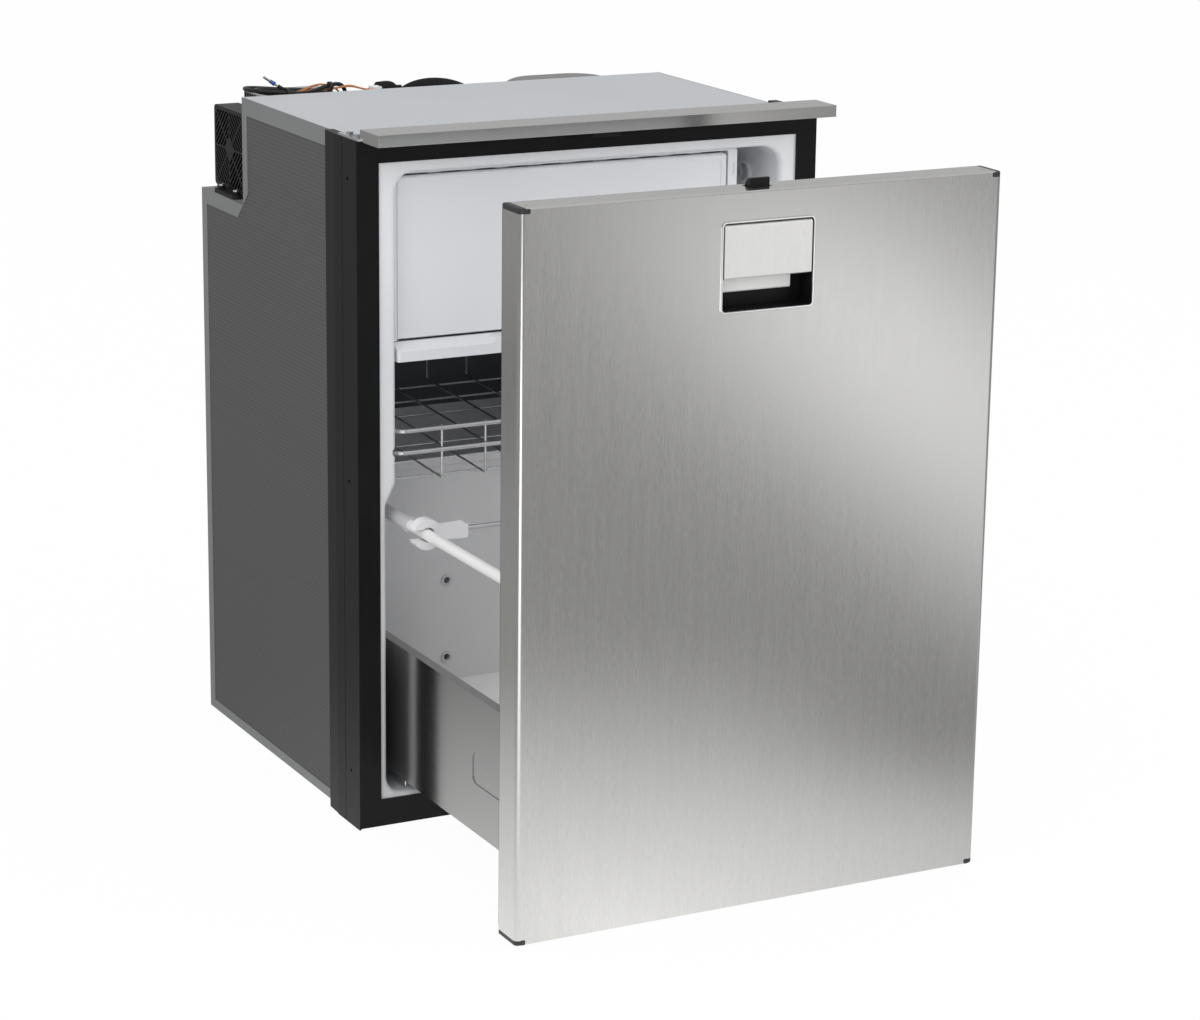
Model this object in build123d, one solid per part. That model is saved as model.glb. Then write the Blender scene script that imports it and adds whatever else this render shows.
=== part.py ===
from build123d import *
from math import cos, radians, sin, tan
import os

os.makedirs("parts", exist_ok=True)

# A built-in drawer refrigerator. Millimetres. X runs from the middle to the right, Z up from the floor,
# and Y back from the plane of the black front frame. save() moves every piece so that the origin
# is the middle of the cabinet's foot. The drawer is drawn shut and stands pulled out by open_at_rest.

# Cabinet
body_width = 525.0
body_height = 748.0
body_depth = 473.0
recess_depth = 128.0
recess_height = 121.0
skin = 0.8
liner_wall = 2.0

# Insulated walls, from the outer sheets to the inside of the white liner
upper_wall = 33.0
lower_wall = 21.5
roof_wall = 34.0
floor_wall = 36.0
rear_wall = 33.0
recess_wall = 35.0
shelf_wall = 37.0

# Black front frame
frame_overhang = 12.0
frame_rise = 2.0
post_face = 25.0
rail_top_face = 24.0
rail_bottom_face = 30.0
frame_bar_depth = 10.5
frame_side_depth = 87.0
frame_groove = 38.0
frame_bevel = 60.0
bottom_rail_lift = 2.0
screw_inset = 62.0
screw_top_inset = 42.0
screw_place = 24.0
screw_radius = 2.0

# White liner: its flange, the runner grooves and the step where the space widens below them
flange_setback = 2.5
flange_depth = 8.0
mouth_radius = 5.5
groove_height = 416.5
groove_half = 6.5
groove_depth = 4.5
widening_drop = 34.5
widening_length = 23.0
floor_corner = 20.0
roof_corner = 22.0

# Foil edge trims on the side panels
foil = 0.6
foil_bottom = 11.0
foil_rear = 15.0
foil_shelf = 17.0
foil_riser = 14.0
foil_top = 19.0
foil_gap = 0.3

# Bright trim over the drawer front
trim_end_gap = 3.7
trim_height = 12.4
trim_gap = 1.0
trim_sheet = 1.2
bracket_sheet = 2.5
bracket_reach = 50.0
trim_bolt_inset = 5.8
trim_bolt_places = (13.0, 31.0)
trim_bolt_radius = 2.5
trim_bolt_depth = 12.0

# Drawer front
front_end_gap = 5.2
front_bottom = 2.0
front_top_gap = 9.0
front_thickness = 46.0
front_sheet = 1.0
front_edge_radius = 5.0
gasket_thickness = 6.5
gasket_clearance = 0.5
gasket_width = 20.0
inner_plate = 2.0
plateau_rise = 8.0
plateau_side_gap = 2.5
plateau_lift = 48.0
plateau_drop = 41.0
cap_width = 6.5
cap_height = 5.5
stop_pin_radius = 2.2
stop_pin_inset = 13.5
open_at_rest = 323.0

# Handle and latch in the drawer front
bezel_width = 105.0
bezel_height = 91.0
bezel_drop = 28.5
bezel_rim = 2.0
bezel_proud = 1.5
cup_depth = 26.0
cup_wall = 1.5
paddle_width = 98.0
paddle_height = 53.0
paddle_drop = 3.5
paddle_thickness = 7.5
hinge_pin_radius = 1.5
pivot_depth = 5.0
pivot_drop = 7.0
arm_reach = 23.0
arm_half = 8.0
arm_thickness = 3.0
channel_half = 16.5
channel_setback = 4.5
channel_depth = 30.0
channel_drop = 56.0
bar_drop = 102.0
bar_right = 35.0
bar_setback = 16.0
bar_thickness = 6.0
bar_overlap = 12.0
bolt_width = 22.0
bolt_depth = 10.0
bolt_length = 26.0
bolt_rise = 8.5
bolt_setback = 19.5
bolt_shelf = 2.5
striker_half = 16.0
striker_depth = 14.0
striker_lip = 1.6

# Drawer box
drawer_side_gap = 1.5
drawer_sheet = 1.2
drawer_rear_gap = 7.0
side_bottom = 55.0
side_top = 203.0
side_lip = 11.0
back_bottom = 110.0
back_top = 375.0
floor_height = 119.0
floor_sheet = 2.0
tube_inset = 5.0
tube_height = 342.0
tube_radius = 6.0
tube_end_gap = 12.0
sleeve_radius = 7.3
sleeve_length = 131.0
press_length = 80.0
press_place = 100.0
press_middle = 125.5
press_height = 34.0
press_depth = 1.0
grommet_offset = 122.0
grommet_heights = (146.0, 235.0)
grommet_radius = 5.0

# Cross divider that slides on the tubes
divider_place = 267.0
ring_radius = 16.5
ring_bore = 8.0
clip_depth = 14.0
rod_radius = 3.2
rod_seat = 16.0
clip_reach = 46.5
clip_end_half = 8.0
clip_mouth = 13.0

# Telescopic slides
slide_length = 400.0
slide_bottom = 62.0
slide_height = 45.0
slide_stack = 12.7
slide_sheet = 1.2
slide_front = 14.0
slide_foot = 14.0
slide_step = 3.5

# Wire basket
rail_wire = 2.4
mesh_wire = 1.3
wire_play = 0.6
basket_front = 9.0
basket_back = 390.0
basket_side_gap = 1.0
rail_rise = 23.5
basket_depth = 32.5
basket_floor_rise = 15.0
rail_corner = 14.0
rail_return = 28.5
mesh_bend = 4.0
first_wire = 56.5
wire_pitch = 51.3
last_wire = 35.0
first_cross = 25.0
cross_pitch = 55.4
last_cross = 20.0

# Freezer compartment with its bezel, flap and tray
beside_freezer = 49.5
freezer_side_gap = 2.0
freezer_roof_gap = 4.0
freezer_front = 20.0
freezer_rear_gap = 10.0
freezer_height = 172.0
freezer_corner = 20.0
box_wall = 1.5
bezel_thickness = 14.0
bezel_overlap = 1.5
flap_inset = 7.5
flap_drop = 3.0
flap_overhang = 5.4
flap_thickness = 10.0
flap_gap = 0.5
flap_slit = 2.5
flap_back_gap = 0.8
flap_pin = 1.5
flap_pin_length = 2.2
pin_play = 0.25
pillar_width = 11.0
slit_rib_width = 16.0
slit_rib_pitch = 39.0
slit_rib_start = 38.0
tray_under_floor = 6.5
tray_height = 18.3
tray_lip_drop = 7.2
tray_front = 3.0
tray_shelf = 19.0
tray_end_gap = 2.5
tray_inset = 10.0
tray_grip = 89.0
grip_corner = 8.0
rail_ledge = 1.8
running_gap = 0.3

# Evaporator plate and thermostat
plate_half = 200.0
plate_height = 230.0
plate_under_step = 10.0
dial_place = 77.0
dial_drop = 40.0
dial_radius = 7.75

# Compressor recess: fan
fan_size = 92.0
fan_depth = 28.0
fan_side_gap = 15.0
fan_from_back = 49.0
fan_lift = 50.0
fan_bore = 42.5
hub_radius = 18.5
blade_count = 7
grille_sheet = 2.0
grille_border = 4.5
grille_core = 11.3
grille_pitch = 5.6
grille_slat = 1.9
grille_rings = 8

# Compressor recess: condenser, compressor and control unit
condenser_side_gap = 48.5
condenser_width = 90.0
condenser_gap = 12.0
recess_headroom = 10.0
fin_count = 15
fin_sheet = 1.0
compressor_side_gap = 22.5
compressor_length = 150.0
compressor_depth = 112.0
compressor_lift = 15.0
seam_height = 46.0
unit_gap = 29.0
unit_length = 100.0
unit_depth = 80.0
unit_lift = 12.0
unit_height = 48.0
unit_ribs = 8
unit_rib_height = 10.0

# Suction line with its foam sleeve, and the pipes
suction_from_unit = 11.0
suction_from_compressor = 20.0
suction_depth = 33.0
suction_fall = 11.0
foam_radius = 14.0
foam_lengths = (24.0, 90.0)
tie_gaps = (6.0, 7.0)
copper_radius = 4.0
discharge_radius = 3.0

# Supply lead, sensor wires and ties
lead_radius = 2.4
lead_lift = 0.6
lead_exit_depth = 55.0
lead_exit_height = 38.0
gland_radius = 4.2
gland_length = 3.0
loop_turns = 2
points_per_turn = 12
loop_bend = 32.5
loop_step = 5.9
loop_reach = 24.0
loop_shrink = 4.0
loop_drift = 2.5
loop_inset = 25.0
loop_depth = 41.0
wire_radius = 0.9
wire_spread = 1.2
plug_pitch = 9.0
ring_bore_radius = 4.5
ring_wall = 1.3

half_body = body_width / 2
ledge = body_height - recess_height
recess_front = body_depth - recess_depth
half_frame = half_body + frame_overhang
half_opening = half_frame - post_face
frame_top = body_height + frame_rise
opening_top = frame_top - rail_top_face
opening_bottom = bottom_rail_lift + rail_bottom_face
screw_heights = (screw_inset, (screw_inset + frame_top - screw_top_inset) / 2, frame_top - screw_top_inset)

upper_half_width = half_body - upper_wall
lower_half_width = half_body - lower_wall
cavity_roof = body_height - roof_wall
cavity_depth = body_depth - rear_wall
step_front = recess_front - recess_wall
step_floor = ledge - shelf_wall
widening_high = groove_height - widening_drop
widening_low = widening_high - widening_length

trim_half = half_frame - trim_end_gap
trim_bolt_line = half_body + trim_bolt_inset
front_half = half_frame - front_end_gap
front_top = frame_top - front_top_gap
plate_back = -gasket_clearance - gasket_thickness
skin_back = plate_back - inner_plate
front_face = -front_thickness - gasket_clearance
plateau_back = plate_back + plateau_rise
plateau_half = upper_half_width - plateau_side_gap
plateau_low = front_bottom + plateau_lift
plateau_high = front_top - plateau_drop
bezel_top = front_top - bezel_drop
pivot_y = front_face + pivot_depth
pivot_z = bezel_top - pivot_drop
arm_end = pivot_y + arm_reach
paddle_top = bezel_top - paddle_drop
channel_front = front_face + channel_setback
channel_back = channel_front + channel_depth
channel_low = front_top - channel_drop
bar_front = front_face + bar_setback

drawer_half_width = upper_half_width - drawer_side_gap
drawer_inside = drawer_half_width - drawer_sheet
back_face = cavity_depth - drawer_rear_gap
tube_offset = drawer_half_width - tube_inset

basket_half_width = upper_half_width - basket_side_gap
lower_rail_height = groove_height - groove_half + rail_wire + wire_play
upper_rail_height = lower_rail_height + rail_rise
basket_floor_front = lower_rail_height - basket_depth

freezer_left = -upper_half_width + freezer_side_gap
freezer_right = upper_half_width - beside_freezer
freezer_roof = cavity_roof - freezer_roof_gap
freezer_floor = freezer_roof - freezer_height
freezer_back = step_front - freezer_rear_gap
box_front = freezer_front + bezel_thickness
flap_left = freezer_left + flap_inset
flap_right = freezer_right - flap_inset
flap_top = freezer_roof - flap_drop
flap_bottom = freezer_floor - flap_overhang
flap_back = freezer_front + flap_thickness
flap_hinge_y = freezer_front + flap_thickness / 2
flap_hinge_z = flap_top - flap_thickness / 2
tray_top = freezer_floor - tray_under_floor
tray_bottom = tray_top - tray_height
tray_lip = tray_top - tray_lip_drop

plate_high = step_floor - plate_under_step
dial_height = cavity_roof - dial_drop

fan_left = half_body - fan_side_gap
fan_middle = body_depth - fan_from_back
fan_height = ledge + fan_lift
condenser_left = -half_body + condenser_side_gap
condenser_right = condenser_left + condenser_width
condenser_top = body_height - recess_headroom
compressor_top = condenser_top
compressor_foot = ledge + compressor_lift
compressor_right = half_body - compressor_side_gap
compressor_left = compressor_right - compressor_length
recess_middle = (recess_front + body_depth) / 2
unit_left = condenser_right + unit_gap
unit_front = recess_front + unit_lift + bracket_sheet
suction_left = unit_left + suction_from_unit
suction_right = compressor_left - suction_from_compressor
suction_place = recess_front + suction_depth
suction_height = condenser_top


def box(x0, x1, y0, y1, z0, z1):
    return Pos((x0 + x1) / 2, (y0 + y1) / 2, (z0 + z1) / 2) * Box(abs(x1 - x0), abs(y1 - y0), abs(z1 - z0))


def rod_x(radius, x0, x1, y, z):
    return Pos((x0 + x1) / 2, y, z) * Rot(0, 90, 0) * Cylinder(radius, abs(x1 - x0))


def rod_y(radius, x, y0, y1, z):
    return Pos(x, (y0 + y1) / 2, z) * Rot(90, 0, 0) * Cylinder(radius, abs(y1 - y0))


def rod_z(radius, x, y, z0, z1):
    return Pos(x, y, (z0 + z1) / 2) * Cylinder(radius, abs(z1 - z0))


def face_xz(points, radii=None):
    # points are (x, z); radii rounds the corner of the same number
    outline = make_face(Plane.XZ * Polyline(*points, close=True))
    for point, radius in zip(points, radii or []):
        if radius:
            corner = outline.vertices().sort_by_distance((point[0], 0, point[1]))[0]
            outline = fillet(corner, radius)
    return outline


def prism_y(points, y0, y1, radii=None):
    return Pos(0, y0, 0) * extrude(face_xz(points, radii), amount=y1 - y0, dir=(0, 1, 0))


def prism_x(points, x0, x1):
    # points are (y, z)
    outline = make_face(Plane.YZ * Polyline(*points, close=True))
    return Pos(x0, 0, 0) * extrude(outline, amount=x1 - x0, dir=(1, 0, 0))


def open_box_outline(x0, x1, z0, z1):
    # the corners of a front view, from the upper left down and round to the upper right
    return [(x0, z1), (x0, z0), (x1, z0), (x1, z1)]


def rounded_y(x0, x1, z0, z1, y0, y1, radius):
    # a plate or bar along Y with rounded corners in the front view
    outline = Plane.XZ * Pos((x0 + x1) / 2, (z0 + z1) / 2) * RectangleRounded(x1 - x0, z1 - z0, radius)
    return Pos(0, y0, 0) * extrude(outline, amount=y1 - y0, dir=(0, 1, 0))


def rounded_z(x0, x1, y0, y1, z0, z1, radius):
    outline = Pos((x0 + x1) / 2, (y0 + y1) / 2, z0) * RectangleRounded(x1 - x0, y1 - y0, radius)
    return extrude(outline, amount=z1 - z0)


def tube(points, bends, radius):
    # a round bar along straight runs joined by tangent arcs
    path = FilletPolyline(*points, radius=bends) if bends else Line(*points)
    return sweep(Plane(origin=path @ 0, z_dir=path % 0) * Circle(radius), path=path)


def easy_bends(points):
    # each corner of a free route is rounded as far as its two runs allow
    bends = []
    for before, corner, after in zip(points, points[1:], points[2:]):
        run_in = Vector(*corner) - Vector(*before)
        run_out = Vector(*after) - Vector(*corner)
        half_turn = radians(run_in.get_angle(run_out)) / 2
        bends.append(0.45 * min(run_in.length, run_out.length) / tan(half_turn))
    return bends


def least_gap(path, radius, samples=500):
    # the least space between stretches of one tube that aren't neighbours along it
    points = [path @ (number / samples) for number in range(samples + 1)]
    apart = int(6 * radius * samples / path.length) + 1
    gaps = []
    for number, point in enumerate(points):
        gaps += [(point - other).length for other in points[number + apart:]]
    return min(gaps) - 2 * radius


def group(pieces):
    return Compound([solid for piece in pieces for solid in piece.solids()])


def nearest(pieces, target):
    return min(pieces, key=lambda piece: (piece.center() - target.center()).length)


def mirrored(piece):
    return mirror(piece, about=Plane.YZ)


def save(piece, name, pulled=False):
    slid = Pos(0, -open_at_rest, 0) if pulled else Pos(0, 0, 0)
    solids = [Pos(0, -body_depth / 2, 0) * slid * solid for solid in piece.solids()]
    export_step(Compound(children=solids) if len(solids) > 1 else solids[0], f"parts/{name}.step")


def cavity_corners(grow=0.0):
    low = lower_half_width + grow
    high = upper_half_width + grow
    right = [(low, floor_wall - grow), (low, widening_low + grow / 2),
             (high, widening_high + grow / 2), (high, cavity_roof + grow)]
    left = [(-x, z) for x, z in reversed(right)]
    rounds = [floor_corner + grow, 10, 10, roof_corner + grow]
    return right + left, rounds + rounds[::-1]


def cavity(grow, y0):
    # the cooled space, stepped at the back under the compressor's shelf
    points, rounds = cavity_corners(grow)
    space = prism_y(points, y0, cavity_depth + grow, rounds)
    space -= box(-half_body, half_body, step_front + grow, body_depth, step_floor + grow, body_height)
    for side in (-1, 1):
        wall = side * (upper_half_width + grow)
        bed = wall + side * groove_depth
        groove = [(wall - side, groove_height - groove_half - grow / 2),
                  (wall - side, groove_height + groove_half + grow / 2),
                  (wall, groove_height + groove_half + grow / 2), (bed, groove_height + 2),
                  (bed, groove_height - 2), (wall, groove_height - groove_half - grow / 2)]
        space += prism_y(groove, y0, cavity_depth - 20)
    return space


def side_outline():
    return [(frame_side_depth, 0), (body_depth, 0), (body_depth, ledge), (recess_front, ledge),
            (recess_front, body_height), (frame_side_depth, body_height)]


# Foam body
def make_insulation():
    edge = half_body - skin
    outline = [(frame_bar_depth, skin), (body_depth - skin, skin), (body_depth - skin, ledge - skin),
               (recess_front - skin, ledge - skin), (recess_front - skin, body_height - skin),
               (frame_bar_depth, body_height - skin)]
    foam = prism_x(outline, -edge, edge)
    foam -= cavity(liner_wall, frame_bar_depth - 1)
    save(foam, "insulation")


# White inner liner with its front flange and the two runner grooves
def make_liner():
    mouth = flange_setback + flange_depth
    flange = box(-half_opening, half_opening, flange_setback, mouth, opening_bottom, opening_top)
    points, rounds = cavity_corners()
    flange -= prism_y(points, flange_setback - 1, mouth + 1, rounds)
    inner_edges = flange.faces().sort_by(Axis.Y)[0].inner_wires()[0].edges()
    flange = fillet(inner_edges, mouth_radius)
    tub = cavity(liner_wall, mouth) - cavity(0, mouth - 1)
    low, high = groove_height - 20, groove_height + 20
    groove_zone = box(-half_body, half_body, flange_setback - 1, mouth + 1, low, high)
    liner = flange + tub - cavity(0, flange_setback - 1).intersect(groove_zone)
    save(liner, "inner_liner")


# Outer sheets
def make_skins():
    panel = prism_x(side_outline(), half_body - skin, half_body)
    save(panel + mirrored(panel), "side_panels")
    edge = half_body - skin
    top = box(-edge, edge, frame_bar_depth, recess_front, body_height - skin, body_height)
    save(top, "top_panel")
    save(box(-edge, edge, frame_bar_depth, body_depth, 0, skin), "base_panel")
    back_steps = [(body_depth, skin), (body_depth, ledge), (recess_front, ledge),
                  (recess_front, body_height - skin), (recess_front - skin, body_height - skin),
                  (recess_front - skin, ledge - skin), (body_depth - skin, ledge - skin),
                  (body_depth - skin, skin)]
    save(prism_x(back_steps, -edge, edge), "back_panel")


# Foil edge trims on both sides: an upper and a lower band whose mitred ends meet at the step
def make_edge_trims():
    front = frame_side_depth
    riser = recess_front - foil_riser
    upper = [(front, body_height - foil_top), (front, body_height), (recess_front, body_height),
             (recess_front, ledge + foil_gap), (riser, ledge + foil_riser + foil_gap),
             (riser, body_height - foil_top)]
    rear = body_depth - foil_rear
    lower = [(front, 0), (body_depth, 0), (body_depth, ledge), (recess_front + foil_gap, ledge),
             (recess_front + foil_shelf + foil_gap, ledge - foil_shelf), (rear, ledge - foil_shelf),
             (rear, foil_bottom), (front, foil_bottom)]
    bands = [prism_x(outline, half_body, half_body + foil) for outline in (upper, lower)]
    save(group(bands + [mirrored(band) for band in bands]), "edge_trims")


# Black front frame, four bars mitred at the corners
def make_frame():
    bar = frame_bar_depth
    section = [(half_body, bar), (half_frame, bar), (half_frame, frame_groove),
               (half_frame - 0.8, frame_groove + 0.6), (half_frame, frame_groove + 1.2),
               (half_frame, frame_bevel), (half_frame - 0.7, frame_bevel + 0.8),
               (half_frame - 2.0, frame_side_depth), (half_body, frame_side_depth)]
    leg = extrude(make_face(Polyline(*section, close=True)), amount=frame_top)
    front = prism_y([(half_opening, opening_bottom), (half_frame, 0), (half_frame, frame_top),
                     (half_opening, opening_top)], 0, bar)
    post = front + leg
    upright = post.edges().filter_by(Axis.Z)
    outer_edges = upright.filter_by_position(Axis.X, half_frame - 0.1, half_frame + 0.1)
    post = chamfer(outer_edges.sort_by(Axis.Y)[0], 0.8)
    for height in screw_heights:
        post -= rod_x(screw_radius, half_body + 1, half_frame + 1, screw_place, height)
    for place in trim_bolt_places:
        post -= rod_z(trim_bolt_radius, trim_bolt_line, place, frame_top - trim_bolt_depth, frame_top + 1)
    save(post, "frame_post_right")
    save(mirrored(post), "frame_post_left")
    top = prism_y([(-half_opening, opening_top), (half_opening, opening_top), (half_frame, frame_top),
                   (-half_frame, frame_top)], 0, bar)
    save(top, "frame_rail_top")
    cut_back = half_opening + (half_frame - half_opening) * rail_bottom_face / opening_bottom
    bottom = prism_y([(-half_opening, opening_bottom), (half_opening, opening_bottom),
                      (cut_back, bottom_rail_lift), (-cut_back, bottom_rail_lift)], 0, bar)
    save(bottom, "frame_rail_bottom")


# Bright trim, its end brackets with their bolts, and the striker that the latch catches
def make_trim():
    low, high = frame_top, frame_top + trim_height
    back = -trim_gap
    bar = box(-trim_half, trim_half, front_face, back, low, high)
    bar = fillet(bar.edges().filter_by(Axis.Z).group_by(Axis.Y)[0], 1.5)
    inside = trim_half - trim_sheet
    hollow = box(-inside, inside, front_face + trim_sheet, back + 1, low + trim_sheet, high - trim_sheet)
    save(bar - hollow, "top_trim")
    inner, outer = half_body + 0.5, half_frame - 1
    seat = low + trim_sheet
    plate = box(inner, outer, back + 0.5, bracket_reach, low, low + bracket_sheet)
    tongue = box(inner, inside, back - bracket_reach / 2, back + 0.5, seat, seat + bracket_sheet)
    web = box(inner, inside, back - 1.5, back + 0.5, seat, high - trim_sheet)
    bracket = plate + tongue + web
    bolts = []
    for y in trim_bolt_places:
        bracket -= rod_z(trim_bolt_radius, trim_bolt_line, y, low - 1, low + bracket_sheet + 1)
        shank = rod_z(trim_bolt_radius, trim_bolt_line, y, low - trim_bolt_depth, low + bracket_sheet)
        head = Pos(trim_bolt_line, y, low + bracket_sheet) * extrude(RegularPolygon(4.2, 6), amount=3.2)
        bolts.append(shank + head)
    save(bracket + mirrored(bracket), "trim_brackets")
    save(group(bolts + [mirrored(bolt) for bolt in bolts]), "trim_bolts")


def make_striker():
    catch_back = front_face + bolt_setback - 1.0
    front = catch_back - striker_depth
    plate = box(-striker_half, striker_half, front, catch_back, frame_top - 1.0, frame_top)
    lip = box(-striker_half, striker_half, catch_back - striker_lip, catch_back, front_top + 1.5, frame_top)
    save(plate + lip, "latch_striker")


# Freezer compartment: box, front bezel, flap and the tray under it
def make_freezer():
    left, right = freezer_left, freezer_right
    outside = open_box_outline(left, right, freezer_floor, freezer_roof)
    shell = prism_y(outside, box_front, freezer_back, [freezer_corner])
    low, high = freezer_floor + box_wall, freezer_roof - box_wall
    inside = open_box_outline(left + box_wall, right - box_wall, low, high)
    shell -= prism_y(inside, box_front - 1, freezer_back - box_wall, [freezer_corner - box_wall])
    for x in (left + 30, right - 30):
        for y in (box_front + 30, freezer_back - 30):
            shell += rod_z(5, x, y, freezer_roof, cavity_roof)
    save(shell, "evaporator_box")

    # the jamb, pillar and top strip stand in front of a ring, which the flap shuts against
    top = freezer_roof + bezel_overlap
    pillar_left = flap_right + flap_slit
    ring_front = flap_back + flap_back_gap
    outline = open_box_outline(left - flap_gap, pillar_left + pillar_width, flap_bottom, top)
    bezel = prism_y(outline, freezer_front, box_front, [freezer_corner + flap_gap, 0, 0, 3])
    opening = open_box_outline(flap_left - flap_gap, pillar_left, flap_bottom - 1, flap_top + flap_slit)
    bezel -= prism_y(opening, freezer_front - 1, ring_front, [1, 0, 0, 2])
    bezel -= prism_y(inside, ring_front - 1, box_front + 1, [freezer_corner - box_wall])
    bezel -= rounded_y(pillar_left + 3, pillar_left + pillar_width - 3, flap_top - 24, flap_top - 11,
                       freezer_front - 1, freezer_front + 1, 2.4)
    rib = flap_left + slit_rib_start
    while rib < flap_right:
        bezel += box(rib, rib + slit_rib_width, flap_hinge_y + 2, ring_front + 0.5, flap_top + 0.4,
                     flap_top + flap_slit + 0.5)
        rib += slit_rib_pitch
    bore = flap_pin + pin_play
    bezel -= rod_x(bore, flap_left - flap_gap - flap_pin_length, flap_left, flap_hinge_y, flap_hinge_z)
    bezel -= rod_x(bore, flap_right, pillar_left + flap_pin_length + 0.5, flap_hinge_y, flap_hinge_z)
    save(bezel, "freezer_bezel")

    flap = box(flap_left, flap_right, freezer_front, flap_back, flap_bottom, flap_hinge_z)
    flap += rod_x(flap_thickness / 2, flap_left, flap_right, flap_hinge_y, flap_hinge_z)
    flap = chamfer(flap.edges().filter_by(Axis.X).group_by(Axis.Z)[0].sort_by(Axis.Y)[0], 5.5, 2.2)
    flap -= rounded_y(flap_left + 6, flap_right - 6, flap_bottom + 10, flap_hinge_z - 2,
                      freezer_front - 1, freezer_front + 0.6, 4)
    flap &= prism_y(open_box_outline(flap_left, flap_right, flap_bottom, flap_top), freezer_front, flap_back,
                    [3, 0, 0, 3])
    flap += rod_x(flap_pin, flap_left - flap_pin_length, flap_left, flap_hinge_y, flap_hinge_z)
    flap += rod_x(flap_pin, flap_right, pillar_left + flap_pin_length, flap_hinge_y, flap_hinge_z)
    save(flap, "freezer_door")


def make_drip_tray():
    left, right = -upper_half_width + tray_end_gap, freezer_right - tray_inset / 2
    body_left, body_right = freezer_left + tray_inset, freezer_right - tray_inset
    middle = (freezer_left + freezer_right) / 2
    shelf = tray_front + tray_shelf
    tray = rounded_z(left, right, tray_front, shelf + box_wall, tray_bottom, tray_top, 3)
    tray += box(body_left, body_right, shelf, freezer_back, tray_bottom, tray_top)
    tray -= rounded_z(body_left + box_wall, body_right - box_wall, shelf + box_wall, freezer_back - box_wall,
                      tray_bottom + box_wall, tray_top + 1, 3)
    slope = [(tray_front - 1, tray_top + 1), (tray_front - 1, tray_lip - 0.4), (shelf - 2, tray_top),
             (shelf - 2, tray_top + 1)]
    grip_left, grip_right = middle - tray_grip, middle + tray_grip
    for start, end in ((left - 20, grip_left), (grip_right, right + 20)):
        scoop = rounded_y(start, end, tray_lip - 1, tray_top + 12, tray_front - 2, shelf, grip_corner)
        tray -= scoop & prism_x(slope, start, end)
    under, inner = tray_front + box_wall, tray_top - box_wall
    hollow = [(under, tray_bottom - 1), (shelf, tray_bottom - 1), (shelf, inner), (shelf - 2, inner),
              (under, tray_lip - box_wall)]
    tray -= prism_x(hollow, left + 4, right - 4)
    rim = freezer_left + box_wall + running_gap
    tray += box(rim, body_left, shelf, freezer_back, tray_top - box_wall, tray_top)
    rim = freezer_right - box_wall - running_gap
    tray += box(body_right, rim, shelf, freezer_back, tray_top - box_wall, tray_top)
    save(tray, "drip_tray")

    rails = []
    rail_low = tray_top - box_wall - running_gap - rail_ledge
    for edge, side in ((freezer_left, 1), (freezer_right, -1)):
        wall = edge + side * box_wall
        reach = edge + side * (tray_inset - 1)
        rail = box(edge, wall, box_front, freezer_back, rail_low, freezer_floor)
        rail += box(edge, reach, box_front, freezer_back, rail_low, rail_low + rail_ledge)
        rails.append(rail)
    save(group(rails), "tray_rails")


def make_evaporator_plate():
    plate = rounded_y(-plate_half, plate_half, plate_high - plate_height, plate_high, cavity_depth - 1.5,
                      cavity_depth, 12)
    save(plate, "evaporator_plate")


# Thermostat on the right-hand wall
def make_thermostat():
    wall = upper_half_width
    ring = rod_x(13, wall - 1.2, wall, dial_place, dial_height)
    ring += rod_x(13, wall - 3, wall - 1.2, dial_place, dial_height) - \
        rod_x(9.5, wall - 3, wall - 1.2, dial_place, dial_height)
    ring -= rod_x(2.2, wall - 2, wall, dial_place, dial_height)
    save(ring, "thermostat_bezel")
    lens = Pos(0, -9) * Circle(11.5) & Pos(0, 9) * Circle(11.5)
    grip = Plane.YZ * Pos(dial_place, dial_height) * Rot(0, 0, 90) * lens
    knob = rod_x(dial_radius, wall - 4.5, wall - 1.5, dial_place, dial_height)
    knob += Pos(wall - 8, 0, 0) * extrude(grip, amount=3.6)
    knob += rod_x(1.9, wall - 1.5, wall - 0.4, dial_place, dial_height)
    save(knob, "thermostat_knob")


# Telescopic slides: three channels nested in each other, one set on each side
def channel(web, lip_end, low, high, y0, y1):
    # a channel lying on its side, with its web at x = web and both lips turned towards lip_end
    far = web + slide_sheet if lip_end > web else web - slide_sheet
    piece = box(web, far, y0, y1, low, high)
    piece += box(far, lip_end, y0, y1, low, low + slide_sheet)
    piece += box(far, lip_end, y0, y1, high - slide_sheet, high)
    return piece


def make_slides():
    y0, y1 = slide_front, slide_front + slide_length
    web = drawer_inside - slide_stack
    low, high = slide_bottom, slide_bottom + slide_height
    outer = channel(web, drawer_inside - 2.3, low, high, y0, y1)
    outer += box(web, web + slide_sheet, y0, y1, floor_wall, low)
    outer += box(web - slide_foot, web, y0, y1, floor_wall, floor_wall + slide_sheet)
    save(outer + mirrored(outer), "slide_outers")
    middle = channel(web + 2.2, drawer_inside - 3.3, low + slide_step, high - slide_step, y0, y1)
    save(Pos(0, -open_at_rest / 2, 0) * (middle + mirrored(middle)), "slide_middles")
    low, high = low + 2 * slide_step + 0.5, high - 2 * slide_step - 0.5
    inner = channel(drawer_inside, web + 5.4, low, high, y0, y1)
    save(inner + mirrored(inner), "slide_inners", pulled=True)


# Wire basket that runs in the liner's grooves
def basket_floor(y):
    return basket_floor_front + basket_floor_rise * (y - basket_front) / (basket_back - basket_front)


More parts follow.
